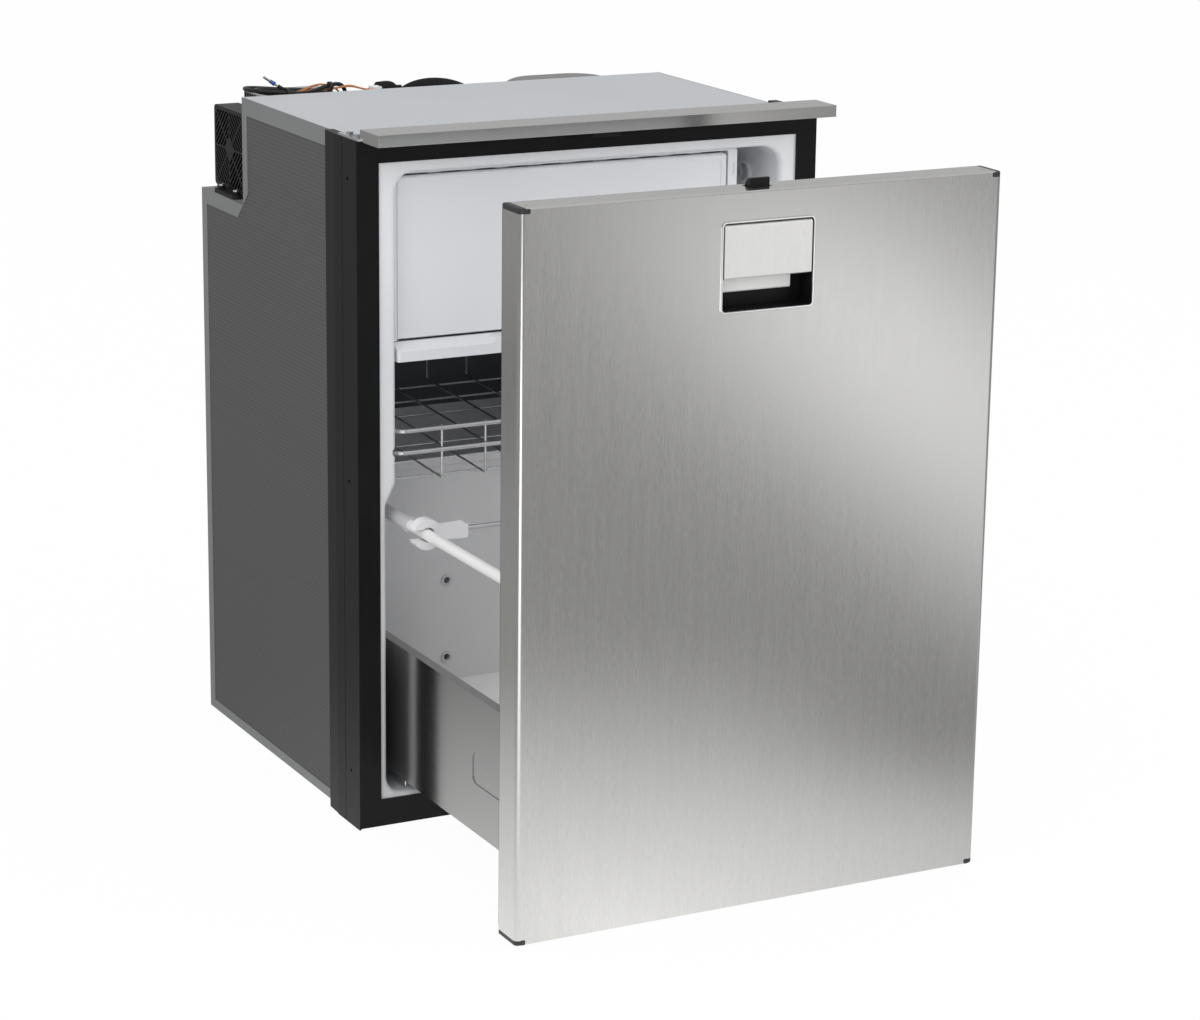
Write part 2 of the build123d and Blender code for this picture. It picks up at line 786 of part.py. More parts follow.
def make_basket():
    # the lower rail runs in the grooves and turns up to the upper rail behind the corners
    upper_half = upper_half_width - rail_wire - wire_play
    outline = Pos(0, (basket_front + basket_back) / 2, upper_rail_height) * \
        RectangleRounded(2 * upper_half, basket_back - basket_front, rail_corner)
    loop = outline.wire()
    upper = sweep(Plane(origin=loop @ 0, z_dir=loop % 0) * Circle(rail_wire), path=loop)
    half, turned = basket_half_width, basket_half_width - rail_return
    low, high = lower_rail_height, upper_rail_height
    front, back = basket_front, basket_back
    route = [(-turned, back, high), (-turned, back, low), (-half, back, low), (-half, front, low),
             (half, front, low), (half, back, low), (turned, back, low), (turned, back, high)]
    corner = rail_corner
    lower = tube(route, [corner - 4, corner - 0.5, corner, corner, corner - 0.5, corner - 4], rail_wire)
    save(upper + lower, "basket_rails")

    inside = rail_wire + mesh_wire
    front, back = basket_front + inside, basket_back - inside
    tip = upper_rail_height + 3
    wires = []
    x = -half + first_wire
    while x < half - last_wire:
        near, far = basket_floor(front), basket_floor(back)
        route = [(x, front, tip), (x, front, near), (x, back, far), (x, back, tip)]
        wires.append(tube(route, [mesh_bend, mesh_bend], mesh_wire))
        x += wire_pitch
    side = half - inside
    y = basket_front + first_cross
    while y < basket_back - last_cross:
        z = basket_floor(y) - 2 * mesh_wire
        route = [(-side, y, low + 3), (-side, y, z), (side, y, z), (side, y, low + 3)]
        wires.append(tube(route, [mesh_bend, mesh_bend], mesh_wire))
        y += cross_pitch
    save(group(wires), "basket_wires")


# Drawer front: folded skin, foam, inner panel with its plateau, gasket and corner caps
def handle_hole(grow, y0, y1, radius):
    top = bezel_top - 0.6
    low = bezel_top - bezel_height + 1
    half = bezel_width / 2 - 1
    return rounded_y(-half - grow, half + grow, low - grow, top + grow, y0, y1, radius)


def cap_block():
    return box(front_half - cap_width, front_half + 1, front_face - 1, skin_back, front_top - cap_height,
               front_top + 1)


def outer_front():
    block = box(-front_half, front_half, front_face, skin_back, front_bottom, front_top)
    block = fillet(block.edges().filter_by(Axis.Z).group_by(Axis.Y)[0], front_edge_radius)
    return fillet(block.edges().filter_by(Axis.X).group_by(Axis.Y)[0], 1.8)


def four_corners(piece):
    middle = (front_top + front_bottom) / 2
    upper = piece + mirrored(piece)
    return upper + mirror(upper, about=Plane.XY.offset(middle))


def make_front():
    block = outer_front()
    inside = front_half - front_sheet
    core_box = box(-inside, inside, front_face + front_sheet, skin_back, front_bottom + front_sheet,
                   front_top - front_sheet)
    uprights = core_box.edges().filter_by(Axis.Z)
    core_box = fillet(uprights.group_by(Axis.Y)[0], front_edge_radius - front_sheet)
    caps_cut = four_corners(cap_block())
    cup_space = handle_hole(0, front_face - 1, front_face + cup_depth, 4.5) + \
        box(-channel_half, channel_half, channel_front, channel_back, channel_low, front_top - front_sheet)
    slot_half = bolt_width / 2 + 2.5
    slot_front, slot_back = front_face + bolt_setback - 2, channel_back - cup_wall
    bolt_slot = box(-slot_half, slot_half, slot_front, slot_back, front_top - 2, front_top + 1)
    shell = block - core_box - caps_cut - handle_hole(0, front_face - 1, front_face + 5, 4.5) - bolt_slot
    for side in (-1, 1):
        shell -= rod_z(stop_pin_radius, side * (front_half - stop_pin_inset), front_face + 15,
                       front_top - 1.5, front_top + 1)
    save(shell, "door_skin", pulled=True)

    caps = (block & four_corners(cap_block())).solids()
    lobe_left = front_half - cap_width - 4.5
    lobe = rounded_y(lobe_left, lobe_left + 5, front_top - cap_height, front_top - 0.5, front_face - 0.4,
                     front_face, 1.2)
    lobes = four_corners(lobe).solids()
    save(group([cap + nearest(lobes, cap) for cap in caps]), "door_corner_caps", pulled=True)

    plateau = box(-plateau_half, plateau_half, plate_back, plateau_back, plateau_low, plateau_high)
    plateau = fillet(plateau.edges().filter_by(Axis.Y), 18)
    plateau = fillet(plateau.faces().sort_by(Axis.Y)[-1].edges(), 5)
    hollow_half = plateau_half - inner_plate
    hollow = box(-hollow_half, hollow_half, skin_back, plateau_back - inner_plate, plateau_low + inner_plate,
                 plateau_high - inner_plate)
    hollow = fillet(hollow.edges().filter_by(Axis.Y), 16)
    sheet = box(-inside, inside, skin_back, plate_back, front_bottom + front_sheet, front_top - front_sheet)
    save(sheet + plateau - hollow, "door_inner_panel", pulled=True)
    save(core_box + hollow - caps_cut - cup_space, "door_foam", pulled=True)

    edge = front_half - 3.3
    low, high = front_bottom + 3, front_top - 3
    seal = rounded_y(-edge, edge, low, high, plate_back, plate_back + gasket_thickness, 6)
    seal -= rounded_y(-edge + gasket_width, edge - gasket_width, low + gasket_width, high - gasket_width,
                      plate_back - 1, gasket_clearance, 4)
    seal = fillet(seal.faces().sort_by(Axis.Y)[-1].edges(), 1.5)
    save(seal, "door_gasket", pulled=True)


# Handle: bezel, cup with the latch channel, pin, paddle with its arm, release bar, and the latch bolt
def make_handle():
    top = bezel_top
    low = top - bezel_height
    half = bezel_width / 2
    ring = rounded_y(-half, half, low, top, front_face - bezel_proud, front_face, 5)
    ring -= rounded_y(-half + bezel_rim, half - bezel_rim, low + bezel_rim, top - bezel_rim,
                      front_face - bezel_proud - 1, front_face + 1, 3.5)
    ring = fillet(ring.faces().sort_by(Axis.Y)[0].edges(), 0.6)
    save(ring, "handle_bezel", pulled=True)

    cup_back = front_face + cup_depth
    wall, high = channel_half, front_top - front_sheet
    cup = handle_hole(0, front_face, cup_back, 4.5)
    cup += box(-wall, wall, channel_front, channel_back, channel_low, high)
    cup -= handle_hole(-cup_wall, front_face - 1, cup_back - cup_wall, 1.5)
    inside, front, back = wall - cup_wall, channel_front + cup_wall, channel_back - cup_wall
    cup -= box(-inside, inside, front, back, channel_low + cup_wall, high + 1)
    pin_end = half - 1.2
    cup -= rod_x(hinge_pin_radius, -pin_end, pin_end, pivot_y, pivot_z)
    save(cup, "handle_cup", pulled=True)
    save(rod_x(hinge_pin_radius, -pin_end, pin_end, pivot_y, pivot_z), "handle_pin", pulled=True)

    half = paddle_width / 2
    face = front_face - 1
    paddle_back = face + paddle_thickness
    paddle = box(-half, half, face, paddle_back, paddle_top - paddle_height, paddle_top)
    front_edges = paddle.edges().group_by(Axis.Y)[0]
    paddle = fillet(front_edges.group_by(Axis.Z)[-1], 3)
    paddle = chamfer(paddle.edges().filter_by(Axis.X).group_by(Axis.Z)[0].sort_by(Axis.Y)[0], 1.0)
    paddle -= rod_x(hinge_pin_radius + 0.2, -half - 1, half + 1, pivot_y, pivot_z)
    paddle += box(-arm_half, arm_half, paddle_back, arm_end, pivot_z - arm_thickness, pivot_z)
    save(paddle, "handle_paddle", pulled=True)

    bar_top = paddle_top - paddle_height + bar_overlap
    grip = box(-half, bar_right, bar_front, bar_front + bar_thickness, front_top - bar_drop, bar_top)
    grip = fillet(grip.edges().filter_by(Axis.X).group_by(Axis.Z)[0], 2.5)
    for x in (-half, -half / 2, 0, bar_right - 3):
        grip += box(x, x + 3, paddle_back, bar_front, bar_top - 9, bar_top)
    save(grip, "release_bar", pulled=True)

    half = bolt_width / 2
    bolt_front = front_face + bolt_setback
    bolt_back = bolt_front + bolt_depth
    tip = front_top + bolt_rise
    bolt = prism_x([(bolt_front, tip), (bolt_front, tip - bolt_length), (bolt_back, tip - bolt_length),
                    (bolt_back, tip - 7), (bolt_front + 4, tip)], -half, half)
    foot = pivot_z - arm_thickness - 0.5
    bolt += box(-half, half, bolt_back, bolt_back + bolt_shelf, foot - arm_thickness, tip - bolt_length + 6)
    bolt += box(-half, half, arm_end - 5, bolt_back, foot - arm_thickness, foot)
    save(bolt, "latch_bolt", pulled=True)


# Drawer box: sides with a pressed panel, back, floor, side tubes with their sockets, and grommets
def make_drawer_box():
    inside = drawer_inside
    side = box(inside, drawer_half_width, plateau_back, back_face, side_bottom, side_top)
    side += box(drawer_half_width - side_lip, inside, plateau_back, back_face - drawer_sheet,
                side_top - drawer_sheet, side_top)
    ledge_top = floor_height - floor_sheet
    end = back_face - drawer_sheet
    side += box(inside - 5, inside, plateau_back, end, ledge_top - drawer_sheet, ledge_top)
    face = Plane.YZ * Pos(press_place, press_middle)
    dish = RectangleRounded(press_length + 2.4, press_height + 2.4, 9)
    side += Pos(inside - press_depth, 0, 0) * extrude(face * dish, amount=press_depth)
    dish = RectangleRounded(press_length, press_height, 8)
    side -= Pos(inside + 0.2, 0, 0) * extrude(face * dish, amount=drawer_sheet)
    save(side + mirrored(side), "drawer_sides", pulled=True)

    panel = box(-inside, inside, end, back_face, back_bottom, back_top)
    hem = box(-inside, inside, end - 2 * drawer_sheet, end, back_top - 8, back_top)
    panel = panel + fillet(hem.edges().filter_by(Axis.X).group_by(Axis.Y)[0], 1.1)
    places = [(x, z) for x in (-grommet_offset, grommet_offset) for z in grommet_heights]
    rings = []
    for x, z in places:
        panel -= rod_y(grommet_radius, x, back_face - 3, back_face + 1, z)
        ring = rod_y(grommet_radius + 1.2, x, back_face - drawer_sheet - 1.8, back_face - drawer_sheet, z)
        ring += rod_y(grommet_radius, x, back_face - drawer_sheet, back_face, z)
        rings.append(ring - rod_y(grommet_radius - 1.3, x, back_face - 4, back_face + 1, z))
    save(panel, "drawer_back", pulled=True)
    save(group(rings), "back_grommets", pulled=True)

    floor_half = inside - drawer_sheet
    save(box(-floor_half, floor_half, plateau_back, back_face - drawer_sheet, ledge_top, floor_height),
         "drawer_floor", pulled=True)

    sleeve_front = back_face - sleeve_length
    tube_end = back_face - tube_end_gap
    rails, sockets = [], []
    for x in (-tube_offset, tube_offset):
        rails.append(rod_y(tube_radius, x, plateau_back, tube_end, tube_height))
        socket = rod_y(sleeve_radius, x, sleeve_front, back_face - drawer_sheet, tube_height)
        socket += rod_y(sleeve_radius + 1.2, x, sleeve_front, sleeve_front + 6, tube_height)
        socket += rod_y(sleeve_radius + 3, x, back_face - 6, back_face - drawer_sheet, tube_height)
        sockets.append(socket - rod_y(tube_radius, x, sleeve_front - 1, tube_end, tube_height))
    save(group(rails), "side_rails", pulled=True)
    save(group(sockets), "rail_sockets", pulled=True)


# Divider: a rod across the drawer with a hook on each side tube, open towards the wall
def make_divider():
    y0, y1 = divider_place - clip_depth / 2, divider_place + clip_depth / 2
    arm_end_x = tube_offset - clip_reach
    waist = ring_radius - 8.5
    seat = arm_end_x + rod_seat
    z = tube_height
    ring = rod_y(ring_radius, tube_offset, y0, y1, z)
    arm = prism_y([(tube_offset, z - ring_radius + 2), (tube_offset - ring_radius - 4, z - waist + 1),
                   (arm_end_x, z - clip_end_half), (arm_end_x, z + clip_end_half),
                   (tube_offset - ring_radius - 4, z + waist - 1), (tube_offset, z + ring_radius - 2)],
                  y0, y1, [0, 12, 3, 3, 12, 0])
    clip = ring + arm - rod_y(ring_bore, tube_offset, y0 - 1, y1 + 1, z)
    clip -= prism_y([(tube_offset, z - clip_mouth / 2), (tube_offset + ring_radius + 1, z - clip_mouth / 2),
                     (tube_offset + ring_radius + 1, z + clip_mouth / 2), (tube_offset, z + clip_mouth / 2)],
                    y0 - 1, y1 + 1)
    clip -= rod_x(rod_radius, arm_end_x - 1, seat, divider_place, z)
    save(clip + mirrored(clip), "divider_clips", pulled=True)
    save(rod_x(rod_radius, -seat, seat, divider_place, z), "divider_rod", pulled=True)


# Fan in the compressor recess, with its diamond grille
def grille_slots():
    opening = fan_size - 2 * grille_border
    slots = RectangleRounded(opening, opening, 6)
    slots -= Rot(0, 0, 45) * Rectangle(2 * grille_core, 2 * grille_core)
    for number in range(grille_rings):
        inner = 2 * (grille_core + (number + 1) * grille_pitch - grille_slat)
        outer = inner + 2 * grille_slat
        slots -= Rot(0, 0, 45) * (Rectangle(outer, outer) - Rectangle(inner, inner))
    for turn in (0, 45, 90, 135):
        slots -= Rot(0, 0, turn) * Rectangle(2 * fan_size, grille_slat)
    return slots


def make_fan():
    left, right = -fan_left, -fan_left + fan_depth
    centre = Pos(fan_middle, fan_height)
    outline = Plane.YZ * centre * RectangleRounded(fan_size, fan_size, 5)
    housing = Pos(left, 0, 0) * extrude(outline, amount=fan_depth)
    housing -= rod_x(fan_bore, left + grille_sheet, right + 1, fan_middle, fan_height)
    housing += rod_x(hub_radius, right - 2.5, right, fan_middle, fan_height)
    for turn in (45, 135):
        spoke = Rot(turn, 0, 0) * Box(2.5, 2 * fan_bore + 1, 4)
        housing += Pos(right - 1.25, fan_middle, fan_height) * spoke
    housing -= rod_x(3.2, right - 3, right - 1, fan_middle, fan_height)
    housing -= Pos(left - 1, 0, 0) * extrude(Plane.YZ * centre * grille_slots(), amount=grille_sheet + 1)
    place = fan_size / 2 - 5
    for y in (fan_middle - place, fan_middle + place):
        for z in (fan_height - place, fan_height + place):
            housing -= rod_x(2.1, left + grille_sheet, right + 1, y, z)
    save(housing, "fan_housing")

    start, end = left + grille_sheet + 1.5, right - 4
    rotor = rod_x(hub_radius - 1, start, end, fan_middle, fan_height)
    rotor += rod_x(3, end, right - 1.3, fan_middle, fan_height)
    half = (end - start - 3) / 2
    blade_face = make_face([ThreePointArc((-half, -6), (0, 1.5), (half, 6)), Line((half, 6), (half, 4.4)),
                            ThreePointArc((half, 4.4), (0, -0.1), (-half, -7.6)),
                            Line((-half, -7.6), (-half, -6))])
    blade = Pos(0, hub_radius - 2, 0) * extrude(Plane.XZ * blade_face, amount=-(fan_bore - hub_radius))
    sweep_ring = rod_x(fan_bore - 2, start, end, 0, 0)
    for number in range(blade_count):
        turned = Rot(number * 360 / blade_count, 0, 0) * (Pos((start + end) / 2, 0, 0) * blade)
        rotor += Pos(0, fan_middle, fan_height) * (turned & sweep_ring)
    save(rotor, "fan_rotor")

    foot_top = fan_height - fan_size / 2
    front = fan_middle - fan_size / 2
    bracket = rounded_z(-half_body + 1.5, -fan_left + 20, front, front + 64, ledge, foot_top, 6)
    bracket += box(-fan_left, -fan_left + fan_depth, front, front + fan_size - 6, ledge, foot_top)
    bolts = []
    x = -half_body + 8
    for y in (front + 9, front + 53):
        washer = rod_z(5, x, y, foot_top, foot_top + 1.2)
        bolts.append(washer + rod_z(3.4, x, y, foot_top + 1.2, foot_top + 4))
    save(group([bracket] + bolts), "fan_bracket")


# Condenser, compressor with its mount, and control unit
def make_condenser():
    x0, x1 = condenser_left, condenser_right
    y0, y1 = recess_front + condenser_gap, body_depth - condenser_gap
    z0, z1 = ledge, condenser_top
    block = box(x0, x1, y0, y1, z0, z0 + 2) + box(x0, x1, y0, y1, z1 - 1.5, z1)
    for number in range(fin_count):
        y = y0 + number * (y1 - y0 - fin_sheet) / (fin_count - 1)
        block += box(x0, x1, y, y + fin_sheet, z0, z1)
    save(block, "condenser")


def make_compressor():
    x0, x1 = compressor_left, compressor_right
    y0, y1 = recess_middle - compressor_depth / 2, recess_middle + compressor_depth / 2
    can = rounded_z(x0, x1, y0, y1, compressor_foot, compressor_top, compressor_depth / 2 - 2)
    can = fillet(can.faces().sort_by(Axis.Z)[-1].edges(), 24)
    can = fillet(can.faces().sort_by(Axis.Z)[0].edges(), 14)
    seam = compressor_foot + seam_height
    can += rounded_z(x0 - 3, x1 + 3, y0 - 3, y1 + 3, seam, seam + 4, compressor_depth / 2)
    can += box(x0 - 14, x0 + 6, recess_middle - 16, recess_middle + 16, compressor_foot + 14, seam - 4)
    save(can, "compressor")
    plate_low = compressor_foot - 2.5
    mount = [rounded_z(x0 + 4, x1 - 4, y0 + 4, y1 - 4, plate_low, compressor_foot, 8)]
    for x in (x0 + 16, x1 - 16):
        for y in (y0 + 14, y1 - 14):
            mount.append(rod_z(8, x, y, ledge, plate_low))
    save(group(mount), "compressor_mount")
    return can


def make_control_unit():
    x0, x1, y0, y1 = unit_left, unit_left + unit_length, unit_front, unit_front + unit_depth
    low = ledge + unit_lift
    high = low + unit_height
    case = rounded_z(x0, x1, y0, y1, low, high, 4)
    for number in range(unit_ribs):
        x = x0 + 8 + number * (unit_length - 18) / (unit_ribs - 1)
        case += box(x, x + 2, y0 + 6, y1 - 6, high, high + unit_rib_height)
    for x in (x0 + 8, x1 - 8):
        for y in (y0 + 8, y1 - 8):
            case += rod_z(4, x, y, ledge, low)
    exit_y, exit_z = recess_front + lead_exit_depth, ledge + lead_exit_height
    case += rod_x(gland_radius, x0 - gland_length, x0, exit_y, exit_z)
    save(case, "control_unit")


# Suction line: a copper tube in three lengths of foam sleeve, pinched by ties
def suction_point(x):
    drop = suction_fall * (x - suction_left) / (suction_right - suction_left)
    return (x, suction_place, suction_height - drop)


def foam_spans():
    # start, end and the radii at both ends of each length of sleeve
    first_end = suction_left + foam_lengths[0]
    second_start = first_end + tie_gaps[0]
    second_end = second_start + foam_lengths[1]
    return [(suction_left, first_end, 13.0, 7.0), (second_start, second_end, 7.0, 7.0),
            (second_end + tie_gaps[1], suction_right, 7.0, 11.0)]


def foam_sleeve(start, end, start_radius, end_radius):
    swell = min(foam_radius, 0.3 * (end - start))
    stations = [(start, start_radius), (start + swell, foam_radius), (end - swell, foam_radius),
                (end, end_radius)]
    return loft([Plane(origin=suction_point(x), z_dir=(1, 0, 0)) * Circle(radius) for x, radius in stations])


def make_pipes(can):
    bore = tube([suction_point(suction_left - 5), suction_point(suction_right + 5)], None, copper_radius)
    save(group([foam_sleeve(*span) - bore for span in foam_spans()]), "suction_foam")
    riser = suction_left - 20
    low = ledge + 73
    far, high = suction_right, compressor_top
    suction = tube([(riser, recess_front, low), (riser, suction_place, low), suction_point(riser),
                    suction_point(far + 4), (far + 20, suction_place + 8, high - 16),
                    (far + 46, suction_place + 24, high - 24)], [10, 12, 14, 10], copper_radius)
    y, high, mid = fan_middle + 29, ledge + 85, ledge + 41
    end, right = compressor_left, condenser_right
    discharge = tube([(end + 20, y - 15, mid), (end - 50, y - 15, mid), (end - 62, y, high),
                      (right, y, high)], [12, 14], discharge_radius)
    turn, y, low = right + 15, suction_place + 22, ledge + 23
    liquid = tube([(right, y, low), (turn, y, low), (turn, recess_front, low)], [8], discharge_radius)
    save(group([suction - can, discharge - can, liquid]), "refrigerant_tubes")


# Supply lead: out of the control unit, two flat loops wound inwards on the condenser, and two ferrules
def loop_point(turns):
    # the loops start at the front, run clockwise as seen from above and lift where they leave the condenser
    angle = radians(270 - 360 * turns)
    bend = loop_bend - loop_step * turns
    reach = (loop_reach - loop_shrink * turns) * max(-1, min(1, 1.6 * cos(angle)))
    x = condenser_left + loop_inset + loop_drift * turns + reach + bend * cos(angle)
    y = recess_front + loop_depth + bend * sin(angle)
    overhang = max(0, condenser_left + 2 * loop_inset - 1 - x)
    z = condenser_top + lead_radius + lead_lift + 0.1 * overhang
    z += 6 * max(0, loop_turns / 4 - turns) + 8 * max(0, turns - 1.6)
    return (x, y, z)


def lead_route():
    x, y, z = unit_left - gland_length, recess_front + lead_exit_depth, ledge + lead_exit_height
    rise, top = condenser_right + 11, condenser_top
    entry = [(x, y, z), (x - 6, y, z), (x - 12.5, y, z + 4), (rise, y - 1, z + 13),
             (rise - 0.5, y - 2, z + 28), (rise - 1, y - 4, z + 50), (rise - 4, y - 10, top - 2),
             (rise - 13, y - 19, top + 12), (rise - 25, y - 25.3, top + 14.3),
             (rise - 41, y - 33.5, top + 13.2), (rise - 58, y - 43, top + 10)]
    loops = [loop_point(number / points_per_turn) for number in range(loop_turns * points_per_turn)]
    x, y = condenser_left + loop_inset, recess_front + loop_depth
    tail = [(x + 13, y - 18.8, top + 6.5), (x - 1, y - 18, top + 7), (x - 12, y - 15, top + 10.5),
            (x - 19, y - 12, top + 15.5)]
    return entry + loops + tail


def make_supply_lead():
    route = lead_route()
    bends = easy_bends(route)
    path = FilletPolyline(*route, radius=bends)
    lead = tube(route, bends, lead_radius)
    save(lead, "supply_lead")
    print("supply lead: length", round(path.length, 1), "radii", [round(bend, 1) for bend in bends])
    print("supply lead: least gap to itself", round(least_gap(path, lead_radius), 2))
    section = 3.14159 * lead_radius ** 2
    print("supply lead: volume over section times length", round(lead.volume / section / path.length, 4))

    heading = Vector(*route[-1]) - Vector(*route[-2])
    seat = Plane(origin=route[-1], x_dir=(0, 1, 0), z_dir=heading)
    ferrules = []
    for side in (-1, 1):
        line = seat * Pos(1.25 * side, 0, 0) * Rot(0, 5 * side, 0)
        core = line * Pos(0, 0, 2.2) * Cylinder(1.0, 3.6)
        collar = line * Pos(0, 0, 7) * Cylinder(1.9, 6)
        tip = line * Pos(0, 0, 14.5) * Cylinder(1.2, 9)
        ferrules.append(core + collar + tip)
    save(group(ferrules), "wire_connectors")


def wire_route(number):
    # out of a plug, through the ring tie, round inside the loops and down into the control unit
    shift = wire_spread * (1 - 2 * number)
    plug_y = suction_place - 6.5 - plug_pitch * number
    x, y, top = condenser_right, recess_front, condenser_top
    near = y + 25.6 + shift
    far = y + 66 - shift
    start, height = suction_left - 13, top + 6.5
    turn = x - 56 + 1.3 * shift
    return [(start, plug_y, height), (start - 4, plug_y, height),
            (start - 10, plug_y + 3 * number, height + 1.5), (x + 3, near, top + 12.6 - number),
            (x - 10, near, top + 10.6), (x - 22, near, top + 8.9),
            (x - 36 + 0.3 * shift, near + 2.2, top + 10.2), (x - 48 + 0.5 * shift, near + 6.9, top + 7.2),
            (turn, y + 36.5, top + 5.2), (turn, y + 44, top + 5.2),
            (x - 48 + 0.5 * shift, far - 18, top + 5.2), (x - 32 + 0.4 * shift, far - 11, top + 9.3),
            (x - 14 + 0.4 * shift, far - 3, top + 10), (x + 3, far, top + 4), (x + 14.5, far, top - 11),
            (x + 17, far, top - 36), (x + 17.5, far, top - 60), (x + 21, far, top - 69.5),
            (unit_left, far, top - 69.5)]


def make_sensor_wires():
    pieces = []
    for number in range(2):
        route = wire_route(number)
        pieces.append(tube(route, easy_bends(route), wire_radius))
        x, y, z = route[0]
        pieces.append(rounded_z(x, x + 11, y - 3.5, y + 3.5, z - 3.5, z + 3.5, 1.5))
    save(group(pieces), "sensor_wires")


def make_ties():
    ties = []
    spans = foam_spans()
    for left, right in zip(spans, spans[1:]):
        x = (left[1] + right[0]) / 2
        px, py, pz = suction_point(x)
        band = rod_x(copper_radius + 1.8, x - 1.8, x + 1.8, py, pz)
        band -= rod_x(copper_radius + 0.3, x - 2, x + 2, py, pz)
        band_top = pz + copper_radius
        ties.append(band + box(x - 2.5, x + 2.5, py - 2.5, py + 2.5, band_top + 1, band_top + 6))
    # a ring round the lead and the sensor wires, and a flat tie round both front strands
    x, y, z = condenser_right - 22, recess_front + 25.6, condenser_top + 12
    ring = rod_x(ring_bore_radius + ring_wall, x - 1.75, x + 1.75, y, z)
    ties.append(ring - rod_x(ring_bore_radius, x - 2, x + 2, y, z))
    x, y, z = condenser_left + 11, recess_front + 13.8, condenser_top + 8.2
    ring = RectangleRounded(16, 13.6, 6.2) - RectangleRounded(13.6, 11.2, 5)
    ties.append(Pos(x - 1.75, 0, 0) * extrude(Plane.YZ * Pos(y, z) * ring, amount=3.5))
    save(group(ties), "cable_ties")


make_insulation()
make_liner()
make_skins()
make_edge_trims()
make_frame()
make_trim()
make_striker()
make_freezer()
make_drip_tray()
make_evaporator_plate()
make_thermostat()
make_slides()
make_basket()
make_front()
make_handle()
make_drawer_box()
make_divider()
make_fan()
make_condenser()
can = make_compressor()
make_control_unit()
make_pipes(can)
make_supply_lead()
make_sensor_wires()
make_ties()
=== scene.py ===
import math
import bmesh
import bpy
from mathutils import Matrix, Vector


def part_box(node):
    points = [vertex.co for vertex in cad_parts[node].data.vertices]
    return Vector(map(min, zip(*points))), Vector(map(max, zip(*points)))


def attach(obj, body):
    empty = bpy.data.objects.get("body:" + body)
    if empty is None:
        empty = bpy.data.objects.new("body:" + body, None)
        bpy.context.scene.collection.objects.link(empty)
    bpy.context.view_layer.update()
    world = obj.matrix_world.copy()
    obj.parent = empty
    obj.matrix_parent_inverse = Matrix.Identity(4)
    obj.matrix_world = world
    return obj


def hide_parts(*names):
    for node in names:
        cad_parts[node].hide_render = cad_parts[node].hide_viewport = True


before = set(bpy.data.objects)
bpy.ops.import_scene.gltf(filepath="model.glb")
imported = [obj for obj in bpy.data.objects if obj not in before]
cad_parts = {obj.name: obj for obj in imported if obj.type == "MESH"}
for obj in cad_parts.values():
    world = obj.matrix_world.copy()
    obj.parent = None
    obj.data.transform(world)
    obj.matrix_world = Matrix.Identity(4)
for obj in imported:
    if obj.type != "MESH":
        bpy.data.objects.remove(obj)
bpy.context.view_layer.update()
print("frame loaded")


# the camera that took the picture, found from the fridge's own corners
photoCamera = {
    "focalPixels": 3449.2,
    "pictureWidth": 1200,
    "sensor": 36.0,
    "place": (-1.67306, -3.45904, 1.31357),
    "turn": -27.61,
    "tilt": 15.18,
    "roll": 0.75,
}


def setCamera(settings):
    turn = math.radians(settings["turn"])
    tilt = math.radians(settings["tilt"])
    roll = math.radians(settings["roll"])
    back = Vector((math.sin(turn) * math.cos(tilt), -math.cos(turn) * math.cos(tilt), math.sin(tilt)))
    level = (-back).cross(Vector((0, 0, 1))).normalized()
    upright = back.cross(level)
    right = level * math.cos(roll) + upright * math.sin(roll)
    up = upright * math.cos(roll) - level * math.sin(roll)
    data = bpy.data.cameras.new("photoCamera")
    data.sensor_width = settings["sensor"]
    data.lens = settings["sensor"] * settings["focalPixels"] / settings["pictureWidth"]
    data.clip_end = 50
    camera = bpy.data.objects.new("photoCamera", data)
    bpy.context.collection.objects.link(camera)
    aim = Matrix((right, up, back)).transposed().to_4x4()
    camera.matrix_world = Matrix.Translation(settings["place"]) @ aim
    bpy.context.scene.camera = camera


setCamera(photoCamera)
bpy.context.scene.view_settings.view_transform = "Standard"


# node helpers


def addNode(tree, kind, inputs=None, **settings):
    node = tree.nodes.new(kind)
    for key, value in settings.items():
        setattr(node, key, value)
    for key, value in (inputs or {}).items():
        if isinstance(value, bpy.types.NodeSocket):
            tree.links.new(value, node.inputs[key])
        else:
            node.inputs[key].default_value = value
    return node


def sums(tree, operation, first, second):
    return addNode(tree, "ShaderNodeMath", {0: first, 1: second}, operation=operation).outputs[0]


def between(tree, fac, low, high, start=0.3, end=0.7):
    return addNode(tree, "ShaderNodeMapRange", {"Value": fac, "From Min": start, "From Max": end,
                                                "To Min": low, "To Max": high}).outputs["Result"]


def mixedShader(tree, share, first, second):
    mix = addNode(tree, "ShaderNodeMixShader", {0: share})
    tree.links.new(first, mix.inputs[1])
    tree.links.new(second, mix.inputs[2])
    return mix.outputs[0]


